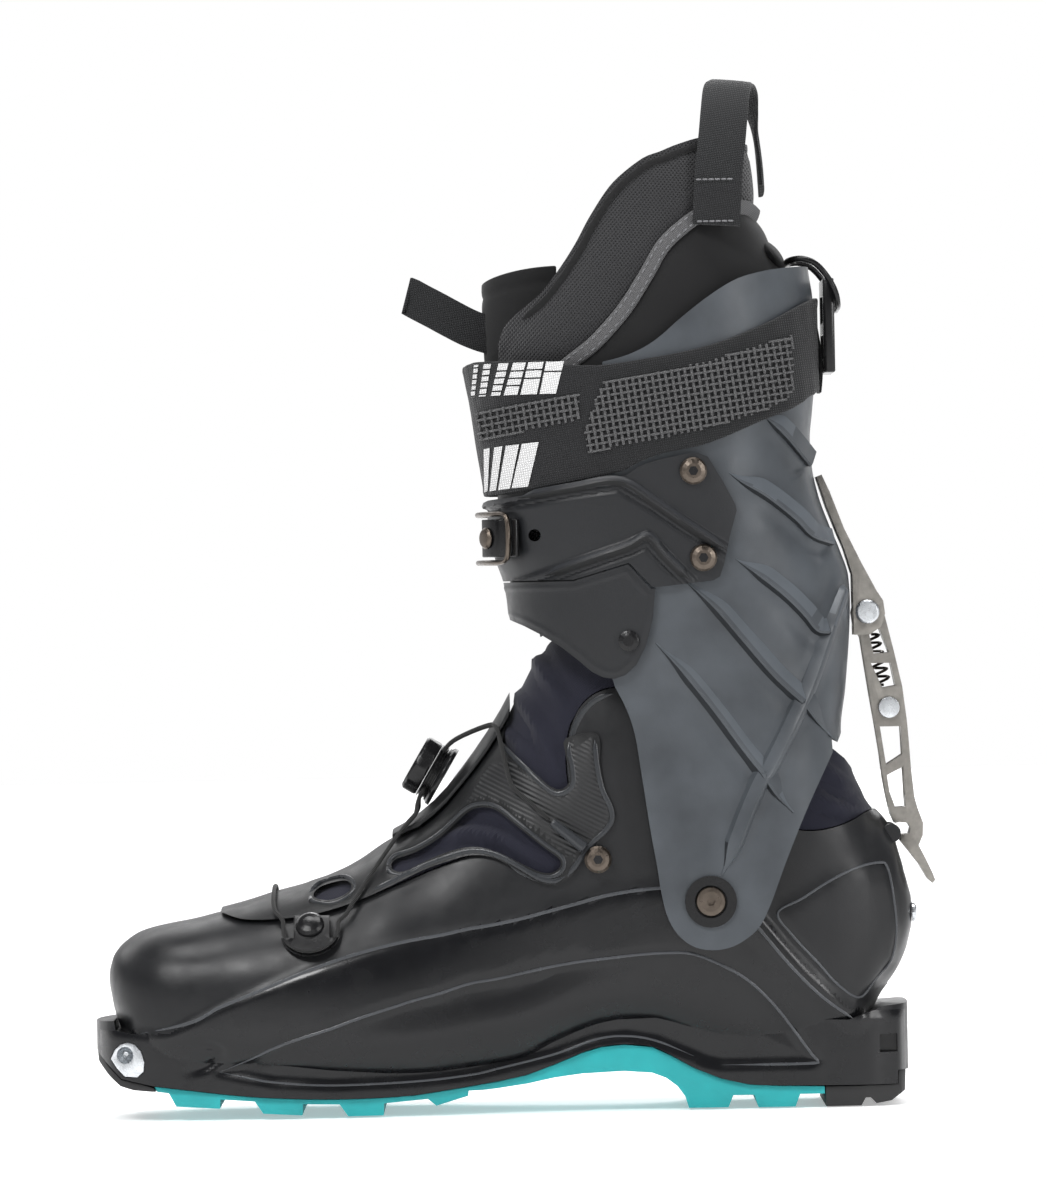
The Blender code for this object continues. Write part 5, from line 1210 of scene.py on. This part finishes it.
# slanted stripes: (foot left, foot right, top left, top right) in X, and the Z of the breaks across each
UPPER_BARS = [(19.2, 25.0, 22.0, 28.4, (265.6,)), (12.3, 18.2, 15.7, 21.1, (263.4, 266.4)),
              (6.3, 11.2, 10.3, 14.8, (261.0, 263.6, 266.2)),
              (1.7, 5.0, 5.0, 8.6, (259.2, 261.6, 264, 266.4)),
              (-2.6, -0.2, -0.4, 2.2, (258.4, 260.6, 262.8, 265, 267.2)),
              (-5.6, -4.2, -4.0, -2.4, (258, 260, 262, 264, 266, 268))]
LOWER_BARS = [(8.6, 14.5, 12.6, 18.6), (3.7, 8.0, 6.8, 11.6), (0.6, 3.0, 2.6, 5.6), (-1.4, -0.1, -1.2, 1.0)]
BREAK = 0.55


def make_strap():
    a = np.radians(np.linspace(15, 345, 300))
    x = shaft_surface(a, 255 + 0 * a, 1)[:, 0]
    lo = table(STRAP_LOW, x)
    hi = table(STRAP_TOP, x)
    t = np.linspace(0, 1, 30)[None, :]
    z = lo[:, None] + (hi - lo)[:, None] * t
    edge = np.minimum(t, 1 - t) * (hi - lo)[:, None]
    # woven selvedge, and the faint ripple of webbing pulled round a curve
    roll = 0.25 * bead(edge - 1.6, 1.0) + 0.14 * np.sin(a[:, None] * 41 + t * 5) * np.abs(2 * t - 1)
    outer = shaft_surface(a[:, None] + 0 * z, z, 2.25)
    n = normals(outer, False)
    n = n * np.sign((n * (outer - np.array((57, 0, 255)))).sum(-1))[..., None]
    outer = outer + n * roll[..., None]
    inner = shaft_surface(a[:, None] + 0 * z, z, 0.45)
    strap = sheet_solid("power_strap_webbing", outer, inner, "webbing")
    bevel(strap, 0.4)
    put(strap, "cuff", "webbing", "power_strap")
    for label, side in SIDES:
        woven_panel("strap_mesh_" + label, MESH_PANEL, side)
        woven_panel("strap_mesh_front_" + label, MESH_SMALL, side)
        count = 0
        for x0, x1, x2, x3, breaks in UPPER_BARS:
            stops = [257.4] + list(breaks) + [269.4]
            for z0, z1 in zip(stops[:-1], stops[1:]):
                f0 = (z0 - 257) / 12.6
                f1 = (z1 - BREAK - 257) / 12.6
                corners = [(x0 + (x2 - x0) * f0, z0), (x1 + (x3 - x1) * f0, z0),
                           (x1 + (x3 - x1) * f1, z1 - BREAK), (x0 + (x2 - x0) * f1, z1 - BREAK)]
                name = "strap_stripe_top_%s_%d" % (label, count)
                patch = strap_patch(name, corners, side, "strap_print", nz=4)
                put(patch, "cuff", "webbing")
                count += 1
        for i, (x0, x1, x2, x3) in enumerate(LOWER_BARS):
            z0 = 223.2 + 0.1 * x0
            z1 = 238.6 + 0.1 * x2
            corners = [(x0, z0), (x1, z0 + 0.4), (x3, z1 + 0.4), (x2, z1)]
            patch = strap_patch("strap_stripe_low_%s_%d" % (label, i), corners, side, "strap_print")
            put(patch, "cuff", "webbing")


make_strap()


# ---- liner ----
LINER_BACK = [(x, v - 4.8) for x, v in X_BACK if x < 280]
LINER_BACK += [(285, 114), (295, 111.6), (302, 108), (309, 104), (317, 101), (326, 98.6), (350, 96.5)]
LINER_B = [(z, v - 4.8) for z, v in HALF_B if z < 300] + [(300, 48.4), (320, 46), (350, 43)]
LINER_RIM = [(4.8, 276), (7, 282), (12, 287), (20, 293.4), (27, 302), (33, 311), (38, 320), (44.6, 330),
             (50, 335.6), (58, 341.4), (64, 343.6), (70, 346), (79, 348.6), (88, 349), (94, 347)]
LINER_PIPING = [(27, 266), (33, 270.4), (40, 276), (50, 287), (58, 299), (64, 309), (70, 315), (78, 320.6),
                (87, 323.4), (95, 323.4), (99, 321)]


def liner_surface(a, z, d):
    u, v = ellipse_unit(a, table(N_SHAFT, z))
    xm = table(X_MID, z)
    reach = np.where(u >= 0, table(LINER_BACK, z) - xm + d, xm - table(X_FRONT, z) - 4.0 + d)
    return np.stack([xm + reach * u, (table(LINER_B, z) + d) * v, z + 0 * u], -1)


def liner_side(x, z, d, side):
    lo, hi = 0.0, math.pi
    for _ in range(30):
        mid = (lo + hi) / 2
        if liner_surface(np.array(mid), np.array(float(z)), d)[0] > x:
            lo = mid
        else:
            hi = mid
    return Vector(liner_surface(np.array(side * (lo + hi) / 2), np.array(float(z)), d))


def make_liner():
    z = np.linspace(128, 350, 150)[:, None]
    a = np.linspace(0, 2 * math.pi, 200, endpoint=False)[None, :]
    outer = liner_surface(a, z + 0 * a, -0.6)
    n = normals(outer, True)
    x = outer[..., 0]
    d, _, _ = line_distance(x, outer[..., 2], LINER_PIPING)
    rim = line_distance(x, outer[..., 2], LINER_RIM)[0]
    puff = 0.9 * ease(rim / 14) * ease(d / 8) - 0.8 * bead(d, 3.0) - 0.5 * bead(rim - 4.2, 1.1)
    creases = 0.3 * np.sin(x / 7.0 + outer[..., 2] / 9.0) * np.sin(outer[..., 2] / 13.0)
    outer = outer + n * (puff + creases * ease((outer[..., 2] - 262) / 12))[..., None]
    inner_z = np.linspace(128, 350, 70)[:, None]
    inner = liner_surface(a, inner_z + 0 * a, -5.8)
    liner = wall("liner_cuff", outer, inner, "liner_mesh")
    low = [(140, 347), (140, 131.5), (124.6, 131.5), (111.7, 140.1), (103, 146.2), (96.5, 152.9), (89, 160.5),
           (80.5, 175.2), (69.2, 187), (53.6, 184.8), (38.5, 180.5), (20.7, 172.2), (7.7, 163.5), (-20, 150),
           (-20, 267.8), (4.8, 268)]
    keep(liner, prism("side", spline(LINER_RIM, 2.0).tolist() + low, -80, 80))
    cut(liner, box("slot", (-31, -25.6, 141), (22, 25.4, 331)))
    line = np.array(LINER_PIPING)

    def below_piping(x, y, z, facing):
        return z < np.interp(x, line[:, 0], line[:, 1], left=0, right=330)

    paint(liner, ("liner_mesh", "liner_plain"), below_piping)
    tree = surface_tree(liner)
    bevel(liner, 1.6, 4, 50.0)
    for label, side in SIDES:
        hem = [(x + 1.6, z - 2.6) for x, z in LINER_RIM[2:]]
        lay_line("liner_binding_" + label, tree, hem, side, flat_section(2.6, 0.6), "liner_plain",
                 "cuff", "liner_mesh", taper=(0.03, 0.03))
    put(liner, "cuff", "liner_mesh", "liner_shaft")
    for label, side in SIDES:
        path = [liner_side(p[0], p[1], 0.0, side) for p in spline(LINER_PIPING, 1.5)]
        centre = Vector((60, 0, 0))
        ups = [(0.15 * (p.x - centre.x) / 45, side, 0.05) for p in path]
        piping = sweep("liner_piping_" + label, path, flat_section(5.4, 0.9), "piping_grey", ups)
        put(piping, "cuff", "liner_mesh")
        verts = []
        faces = []
        for row in (-1.55, 1.55):
            add_stitches(verts, faces, path, ups, row, 1.0)
        stitches = make("liner_stitches_" + label, np.array(verts), faces, "thread", 60)
        put(stitches, "cuff", "liner_mesh")


def add_stitches(verts, faces, path, ups, row, lift, length=1.9, r=0.32):
    """Short raised dashes in a line beside a path, one at every second point of it."""
    for i in range(1, len(path) - 2, 2):
        p = np.array(path[i])
        t = np.array(path[i + 1]) - np.array(path[i - 1])
        t /= np.linalg.norm(t)
        up = np.array(ups[i], float)
        up /= np.linalg.norm(up)
        across = np.cross(t, up)
        base = len(verts)
        mid = p + across * row + up * lift
        for s in (-0.5, -0.3, 0.3, 0.5):
            high = 0.0 if abs(s) == 0.5 else r
            for q in (-1, 0, 1):
                wide = r * (0.5 if abs(s) == 0.5 else 1.0)
                verts.append(mid + t * (s * length) + across * (q * wide) + up * (high if q == 0 else -0.1))
            verts.append(mid + t * (s * length) - up * 0.3)
        for k in range(3):
            b = base + k * 4
            c = b + 4
            faces.extend([(b, b + 1, c + 1, c), (b + 1, b + 2, c + 2, c + 1), (b + 2, b + 3, c + 3, c + 2),
                          (b + 3, b, c, c + 3)])
        faces.append((base + 3, base + 2, base + 1, base))
        faces.append((base + 12, base + 13, base + 14, base + 15))


make_liner()

TONGUE_FRONT = [(190, 12.4), (210, 8.2), (230, 5.0), (255, 1.6), (270, -0.4), (284, -0.9), (296, -1.0),
                (306, 0.0)]


def make_tongue():
    a = np.radians(np.linspace(-86, 86, 70))
    top = 298.6 + 5.6 * np.abs(np.sin(a)) ** 1.4
    t = np.linspace(0, 1, 80)[None, :]
    z = 191 + (top[:, None] - 191) * t
    xt = table(TONGUE_FRONT, z)
    seam = 0.5 * bead((top[:, None] - z) - 5.5, 1.2)
    ca = np.cos(a)[:, None]
    sa = np.sin(a)[:, None]
    outer = np.stack([28 - (28 - xt - seam) * ca, (22.9 - seam) * sa + 0 * z, z], -1)
    inner = np.stack([28 - (24.2 - xt) * ca, 19.2 * sa + 0 * z, z], -1)
    tongue = sheet_solid("tongue_pad", outer, inner, "liner_plain")
    bevel(tongue, 1.5, 4, 50.0)
    put(tongue, "cuff", "liner_mesh", "liner_tongue")


make_tongue()


def ribbon(width, thick):
    return [(-width / 2, -thick / 2), (width / 2, -thick / 2),
            (width / 2, thick / 2), (-width / 2, thick / 2)]


def make_loops():
    """Folded webbing pull at the top of the tongue: two layers side by side, joined by a rounded fold."""
    out = [(4.5, -3.9, 279.6), (0, -3.9, 280.6), (-6, -4.0, 283.0), (-12, -4.1, 286.2), (-18, -4.1, 289.6),
           (-23.5, -4.0, 292.6), (-26.9, -4.2, 294.6)]
    back = [(x, -9.8 - y, z) for x, y, z in out[::-1]]
    back[0] = (-26.9, -5.7, 294.6)
    fold = [(-27.9, -4.95, 295.2)]
    path = spline(out + fold + back, 1.2)
    tab = sweep("tongue_pull", path, ribbon(13.6, 1.0), "webbing", pull_ups(path))
    put(tab, "cuff", "webbing", "tongue_loop")


def pull_ups(path):
    """Outward direction of the webbing along the pull, in the plan view."""
    t = np.gradient(np.array(path), axis=0)
    ups = np.stack([-t[:, 1], t[:, 0], 0 * t[:, 0]], -1)
    ups /= np.linalg.norm(ups, axis=1)[:, None]
    return ups


def make_rear_loop():
    arch = [(83.6, -47.6, 316.6), (84.2, -46.9, 326), (85.0, -45.6, 337), (86.4, -42.4, 348),
            (87.6, -36, 358.5), (88.8, -25, 366.4), (90.6, -13, 369.2), (93.4, -2, 367.6), (97.0, 5, 362),
            (99.6, 9, 352), (100.9, 9, 341), (101.4, 7, 331)]
    ups = [(0, -1, 0)] * 4 + [(0, -0.8, 0.6), (0, -0.4, 0.9), (0.1, 0, 1), (0.4, 0.1, 0.9), (0.8, 0.1, 0.6),
                              (1, 0, 0.2), (1, 0, 0), (1, 0, 0)]
    joined = spline([tuple(p) + tuple(u) for p, u in zip(arch, ups)], 2.0)
    loop = sweep("rear_pull_loop", joined[:, :3], flat_section(17, 1.0, 0.2, 0.8), "webbing", joined[:, 3:])
    put(loop, "cuff", "webbing", "liner_loop")
    # folded foot of the loop, sewn flat to the liner
    verts = []
    faces = []
    for z in (318, 333):
        line = [Vector((x, -49.2 + 0.05 * (z - 318), z)) for x in np.linspace(76.5, 91, 14)]
        add_stitches(verts, faces, line, [(0, -1, 0)] * len(line), 0.0, 0.2)
    put(make("rear_loop_stitches", np.array(verts), faces, "thread", 60), "cuff", "liner_mesh")
    # heel pad of the liner, just above the cuff's rim
    pad = []
    for i in range(13):
        t = i / 12
        r = 6.2 * math.sin(math.pi * min(max(t, 0.04), 0.96)) ** 0.5
        centre = np.array((108.5 - 9.0 * t, 0.0, 300.0 + 13.0 * t))
        a = np.linspace(0, 2 * math.pi, 36, endpoint=False)
        pad.append(np.stack([centre[0] + 0.55 * r * np.cos(a), 4.6 * r * np.sin(a),
                             centre[2] + 0.25 * r * np.cos(a)], -1))
    heel_pad = put(block("liner_heel_pad", np.array(pad), "liner_plain"), "cuff", "liner_mesh")


make_loops()
make_rear_loop()



# ---- stretch gaiter between the shell and the cuff ----
SOFT_TOP = [(-9.6, 124.8), (-5.7, 144.2), (5.7, 159.8), (18.7, 168), (31.4, 168.3), (45.5, 161.3), (56, 155),
            (66, 152.5), (72, 150), (78, 146.6), (86, 144.6), (95.2, 142.8), (112.2, 135.8), (126.8, 124.6),
            (138, 110)]
FOLDS = [[(3, 164), (7, 152), (16, 138), (22, 124)], [(-5, 150), (1, 140), (10, 130)],
         [(12, 168), (19, 156), (27, 146)],
         [(-8, 130), (-1, 126), (8, 126)], [(-30, 96), (-8, 102), (4, 100)], [(-14, 101), (4, 98), (18, 90)],
         [(112, 128), (122, 120), (132, 112)], [(112, 112), (124, 108), (136, 107)]]


def tucked(grid, half):
    """The form drawn in softly to a half width above the ankle, so the leaning cuff clears it."""
    x, y, z = grid[..., 0], grid[..., 1], grid[..., 2]
    limit = half + 0.6 * np.maximum(0, 121 - z) + 0.3 * np.maximum(0, np.maximum(88 - x, x - 110))
    over = np.abs(y) / limit
    out = grid.copy()
    out[..., 1] = np.where(z > 90, y / (1 + over ** 24) ** (1 / 24), y)
    return out


def make_gaiter():
    x = np.linspace(-102, 138.5, 190)[:, None]
    a = np.linspace(0, 2 * math.pi, 200, endpoint=False)[None, :]
    outer = foot_surface(x, a, -0.7)
    n = normals(outer, True)
    gx, gz = outer[..., 0], outer[..., 2]
    h = 0.0 * gx
    for line in FOLDS:
        d, _, along = line_distance(gx, gz, line)
        swell = np.sin(math.pi * np.clip(along, 0, 1)) ** 0.5
        h = h + swell * (0.8 * bead(d, 2.4) - 1.5 * bead(d - 4.2, 2.4))
    h = h + 0.12 * np.sin(gx / 3.1 + gz / 2.3) * np.sin(gz / 4.7)
    outer = tucked(outer + n * h[..., None], 34.9)
    inner_x = np.linspace(-102, 138.5, 90)
    inner = foot_surface(inner_x[:, None], a, -2.6, table(FLOOR, inner_x)[:, None])
    gaiter = wall("gaiter_cloth", outer, tucked(inner, 33.0), "navy_fabric")
    above = [(-100.4, 73.95)] + [(q - (0.45 if 26 < q < 30 and 90 < w < 141 else 0.0), w + 0.45)
                                 for q, w in spline(RIM[1:-1], 2.0).tolist()] + [(138.2, 106.4)]
    top = spline(SOFT_TOP[1:-1], 2.5).tolist()[::-1]
    keep(gaiter, prism("region", above + [(137.6, 110.6)] + top + [(-9.6, 146), (-100.4, 146)], -60, 60))
    bevel(gaiter, 0.4)
    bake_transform(gaiter)
    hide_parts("gaiter")


FOOT_SEAMS = [[(-124, 42), (-100, 48), (-60, 53), (-20, 58), (20, 66), (56, 78), (90, 90), (132, 96)],
              [(-12, 127), (0, 112), (14, 96), (34, 84), (56, 78)],
              [(104, 136), (104, 118), (98, 102), (90, 90)]]


def make_liner_foot():
    """The liner's padded foot: crowned panels between sewn seams, open at the ankle."""
    x = np.linspace(-133.4, 145, 170)
    a = np.linspace(0, 2 * math.pi, 180, endpoint=False)[None, :]
    outer = foot_surface(x[:, None], a, -6.0, table(FLOOR, x)[:, None] + 1.3)
    n = normals(outer, True)
    seam = np.full(outer.shape[:2], 99.0)
    for line in FOOT_SEAMS:
        seam = np.minimum(seam, line_distance(outer[..., 0], outer[..., 2], line)[0])
    facing = ease((np.abs(n[..., 1]) - 0.2) / 0.3)
    puff = (0.5 * ease(seam / 11) - 0.9 * bead(seam, 2.2)) * facing
    creases = 0.2 * np.sin(outer[..., 0] / 6.0 + outer[..., 2] / 8.0) * np.sin(outer[..., 2] / 11.0)
    outer = outer + n * (puff + creases * facing)[..., None]
    inner_x = np.linspace(-128, 139, 90)
    inner = foot_surface(inner_x[:, None], a, -9.4, table(FLOOR, inner_x)[:, None] + 5.4)
    liner = block("liner_boot", outer, "liner_mesh")
    cut(liner, block("hollow", inner, None))
    region = [(-150, 0), (160, 0), (147, 99.5), (142.6, 98.6)] + SOFT_TOP[::-1][0:12]
    keep(liner, prism("region", region + [(28, 160), (10, 132), (2, 120), (-12, 128), (-150, 128)], -60, 60))
    bevel(liner, 1.2, 4, 50.0)
    put(liner, "root", "liner_mesh", "liner_foot")


# ---- instep overlap: a moulded film frame with windows, a ribbed panel and pipings ----
OVER = [(-99.3, 73.6), (-92, 71.4), (-85, 71.0), (-76, 71.4), (-66, 72.6), (-55, 75.4), (-45, 79), (-36, 83),
        (-26, 87.6), (-16, 91), (-8, 92.8), (0, 91.6), (8, 87.2), (15, 83), (21, 81.6), (26, 83.4), (30, 88),
        (35.5, 95.6), (40.5, 99.6), (43.3, 104.5), (43, 109), (40, 116), (38.4, 125), (37.6, 135.4),
        (26.3, 134), (26, 129), (27.2, 122.5), (27.4, 118.6), (24.4, 115.8), (20, 117.2), (11, 125.5),
        (3.4, 133)]
WINDOW_MID = [(-37.2, 88.4), (-33, 87.2), (-24, 91.2), (-14, 94.8), (-6, 95.6), (2, 93.3), (10, 89.2),
              (16, 86.4), (20.5, 86), (23.4, 88.2), (23, 91), (17, 95.6), (8, 103), (0.5, 108.8), (-5, 109.6),
              (-10, 107.6), (-19, 99.6), (-28, 94.2), (-36, 91.4)]
WINDOW_TOE = [(-65.6, 78.6), (-60, 77.4), (-54, 79.4), (-51.6, 82.2), (-54, 84.2), (-60.4, 83), (-64.4, 81.2)]
RIB_PANEL = [(28.6, 118.8), (28.2, 124), (27.4, 131), (36.4, 133), (37.2, 124), (39, 115), (41.6, 108),
             (41.8, 104.8), (39, 101), (34, 97), (28.6, 91), (26.4, 92), (20, 97.4), (12, 104), (4, 110.6),
             (-3, 113.4), (-10, 111.4), (-2, 124), (6, 127), (14, 119.6), (20, 114.6), (25, 113.4)]
TOP_PIPING = [(3.4, 131.6), (11, 124.2), (19.6, 115.8), (24.2, 114.2), (28.4, 117.2), (28.6, 122.8),
              (27.4, 129), (27.6, 132.8)]
REAR_PIPING = [(36.6, 133.6), (37.2, 125), (38.8, 116), (41.8, 109), (42.2, 104.6), (39.6, 100.6),
               (35, 96.4), (29.4, 89.2), (25.8, 84.6)]
LOW_PIPING = [(-44, 80.8), (-36, 84.4), (-26, 89), (-16, 92.4), (-7.8, 94.2), (0.6, 92.9), (8.8, 88.4),
              (15.4, 84.4), (21, 83.0), (25.2, 84.8)]

PIPINGS = (("top_piping_", TOP_PIPING), ("rear_piping_", REAR_PIPING), ("low_piping_", LOW_PIPING))


def grown(outline, d):
    """The outline moved outwards by d, about its centre line."""
    pts = np.array(outline, float)
    t = np.roll(pts, -1, 0) - np.roll(pts, 1, 0)
    t /= np.linalg.norm(t, axis=1)[:, None]
    out = pts + np.stack([t[:, 1], -t[:, 0]], -1) * d
    return out.tolist()


def in_ribs(x, y, z, facing):
    return inside(x, z, RIB_PANEL) & (np.abs(facing[:, 1]) > 0.15)


def make_overlap():
    x = np.linspace(-99.6, 44.5, 150)[:, None]
    a = np.linspace(0, 2 * math.pi, 220, endpoint=False)[None, :]
    outer = foot_surface(x, a, 1.7)
    n = normals(outer, True)
    gx, gz = outer[..., 0], outer[..., 2]
    h = 0.5 * ease(depth_in(gx, gz, RIB_PANEL) / 1.2) - 0.15
    for window in (WINDOW_MID, WINDOW_TOE):
        h = h + 0.3 * bead(depth_in(gx, gz, window) + 2.6, 1.4)
    outer = outer + n * h[..., None]
    inner_x = np.linspace(-99.6, 44.5, 110)[:, None]
    inner = foot_surface(inner_x, a, 0.45)
    film = wall("overlap_film", outer, inner, "overlap_tpu")
    keep(film, prism("region", spline(OVER, 2.0).tolist() + [(6.4, 146), (-30, 150), (-99.3, 120)], -60, 60))
    for window in (WINDOW_MID, WINDOW_TOE):
        cut(film, prism("hole", spline(window, 1.5, True).tolist(), -60, 60))
    paint(film, ("overlap_tpu", "overlap_ribbed"), in_ribs)
    tree = surface_tree(film)
    bevel(film, 0.3)
    put(film, "root", "overlap_tpu", "instep_overlap")
    thin = flat_section(1.5, 0.6)
    for label, side in SIDES:
        for name, window in (("window_piping_", WINDOW_MID), ("toe_window_piping_", WINDOW_TOE)):
            lay_line(name + label, tree, grown(window, 1.3), side, thin, "piping_film", "root",
                     "overlap_tpu", True)
        for name, line in PIPINGS:
            lay_line(name + label, tree, line, side, flat_section(1.9, 0.7), "piping_film", "root",
                     "overlap_tpu", taper=(0.05, 0.05))


make_liner_foot()
make_gaiter()
make_overlap()


# ---- webbing tail of the power strap, under its buckle ----
def make_strap_tail():
    path = [(119.4, 0, 283), (120.4, 0, 277), (121.3, 0, 270), (121.4, 0, 263), (120.8, 0, 257)]
    tail = sweep("strap_tail", spline(path, 1.5), ribbon(24, 1.0), "webbing", (1, 0, 0))
    put(tail, "cuff", "webbing")


make_strap_tail()


# ---- small fittings: painted shade for the socket drives in the screws, the dial's housing ----
DIAL_C = (-11.5, 116.0)
DIAL_AXIS = Vector((-0.86, 0, 0.51)).normalized()


def make_drives():
    """Dark hexagonal discs on the faces of the flap, catch and lace screws: painted shade standing in for
    their socket drives.
    """
    for name in ("flap_screw_top", "flap_screw_low", "lace_anchor"):
        for label, side in SIDES:
            lo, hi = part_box(name + "_" + label)
            x = (lo[0] + hi[0]) / 2 / M - SHIFT_X
            z = (lo[2] + hi[2]) / 2 / M
            y = (hi[1] if side > 0 else lo[1]) / M
            body = "root" if name == "lace_anchor" else "cuff"
            # a thin disc, barely proud of the screw's face, in gloss black: painted shade of the socket's
            # recess
            drive = turned(name + "_drive_" + label, (x, y - side * 0.6, z), (0, side, 0),
                           [(1.75, 0), (1.75, 0.66)], "gloss_black", 6)
            put(drive, body, "gloss_black")


def along_dial(name):
    """How far a node reaches along the dial's axis from its foot, lowest and highest, in mm."""
    foot = Vector(((DIAL_C[0] + SHIFT_X) * M, 0, DIAL_C[1] * M))
    obj = NODES[name]
    reach = [(obj.matrix_world @ v.co - foot).dot(DIAL_AXIS) / M for v in obj.data.vertices]
    return min(reach), max(reach)


def make_dial_housing():
    """A ribbed collar that fills the room between the dial's base and its knob."""
    start = along_dial("dial_base")[1]
    height = along_dial("dial_knob")[0] - start - 0.12
    foot = Vector((DIAL_C[0], 0, DIAL_C[1])) + DIAL_AXIS * start
    profile = [(10.5, 0)]
    for k in range(3):
        low = height * (0.1 + 0.28 * k)
        profile += [(10.5, low), (9.7, low + 0.25), (9.7, low + 0.6), (10.5, low + 0.85)]
    profile += [(10.2, height), (8.2, height)]
    housing = turned("dial_housing", foot, DIAL_AXIS, profile, "gloss_black")
    put(housing, "root", "gloss_black")


make_drives()
make_dial_housing()


# ---- CAD nodes that stay: rounder edges and their own finish ----
FINISH = {}
for part in frame["record"]["subparts"]:
    FINISH[part["node"]] = part["material_slot"]
for label in ("medial", "lateral"):
    FINISH["guide_rivet_" + label] = "gloss_black"
    FINISH["lace_sleeve_" + label] = "piping_film"
FINISH["strap_hook"] = "gloss_black"
FINISH["lever_spring"] = "dark_steel"
for name, obj in NODES.items():
    obj.data.materials.clear()
    obj.data.materials.append(MATS[FINISH[name]])
ROUND = {"buckle_base": 0.3, "buckle_catch": 0.4, "buckle_lever": 0.4, "catch_screw": 0.25, "dial_base": 0.4,
         "dial_knob": 0.35, "heel_insert": 0.4, "heel_rubber": 0.4, "lock_plate": 0.5, "lock_lever": 0.5,
         "strap_buckle": 0.6, "toe_insert": 0.4, "toe_rubber": 0.5, "tongue_guard": 0.5, "outsole": 0.3,
         "lock_bolt": 0.2, "lock_rivet": 0.2, "lace_guide_medial": 0.35, "lace_guide_lateral": 0.35}


def round_off(obj, width):
    weld = obj.modifiers.new("weld", "WELD")
    weld.merge_threshold = 0.00001
    bevel(obj, width, 3, 30.0)
    obj.data.shade_smooth()


for name, width in ROUND.items():
    round_off(NODES[name], width)
for name in ("lace_front", "lace_rear_medial", "lace_rear_lateral", "wire_bail", "strap_hook"):
    weld = NODES[name].modifiers.new("weld", "WELD")
    weld.merge_threshold = 0.00001
    fine = NODES[name].modifiers.new("fine", "SUBSURF")
    fine.levels = 2
    fine.render_levels = 2
    NODES[name].data.shade_smooth()
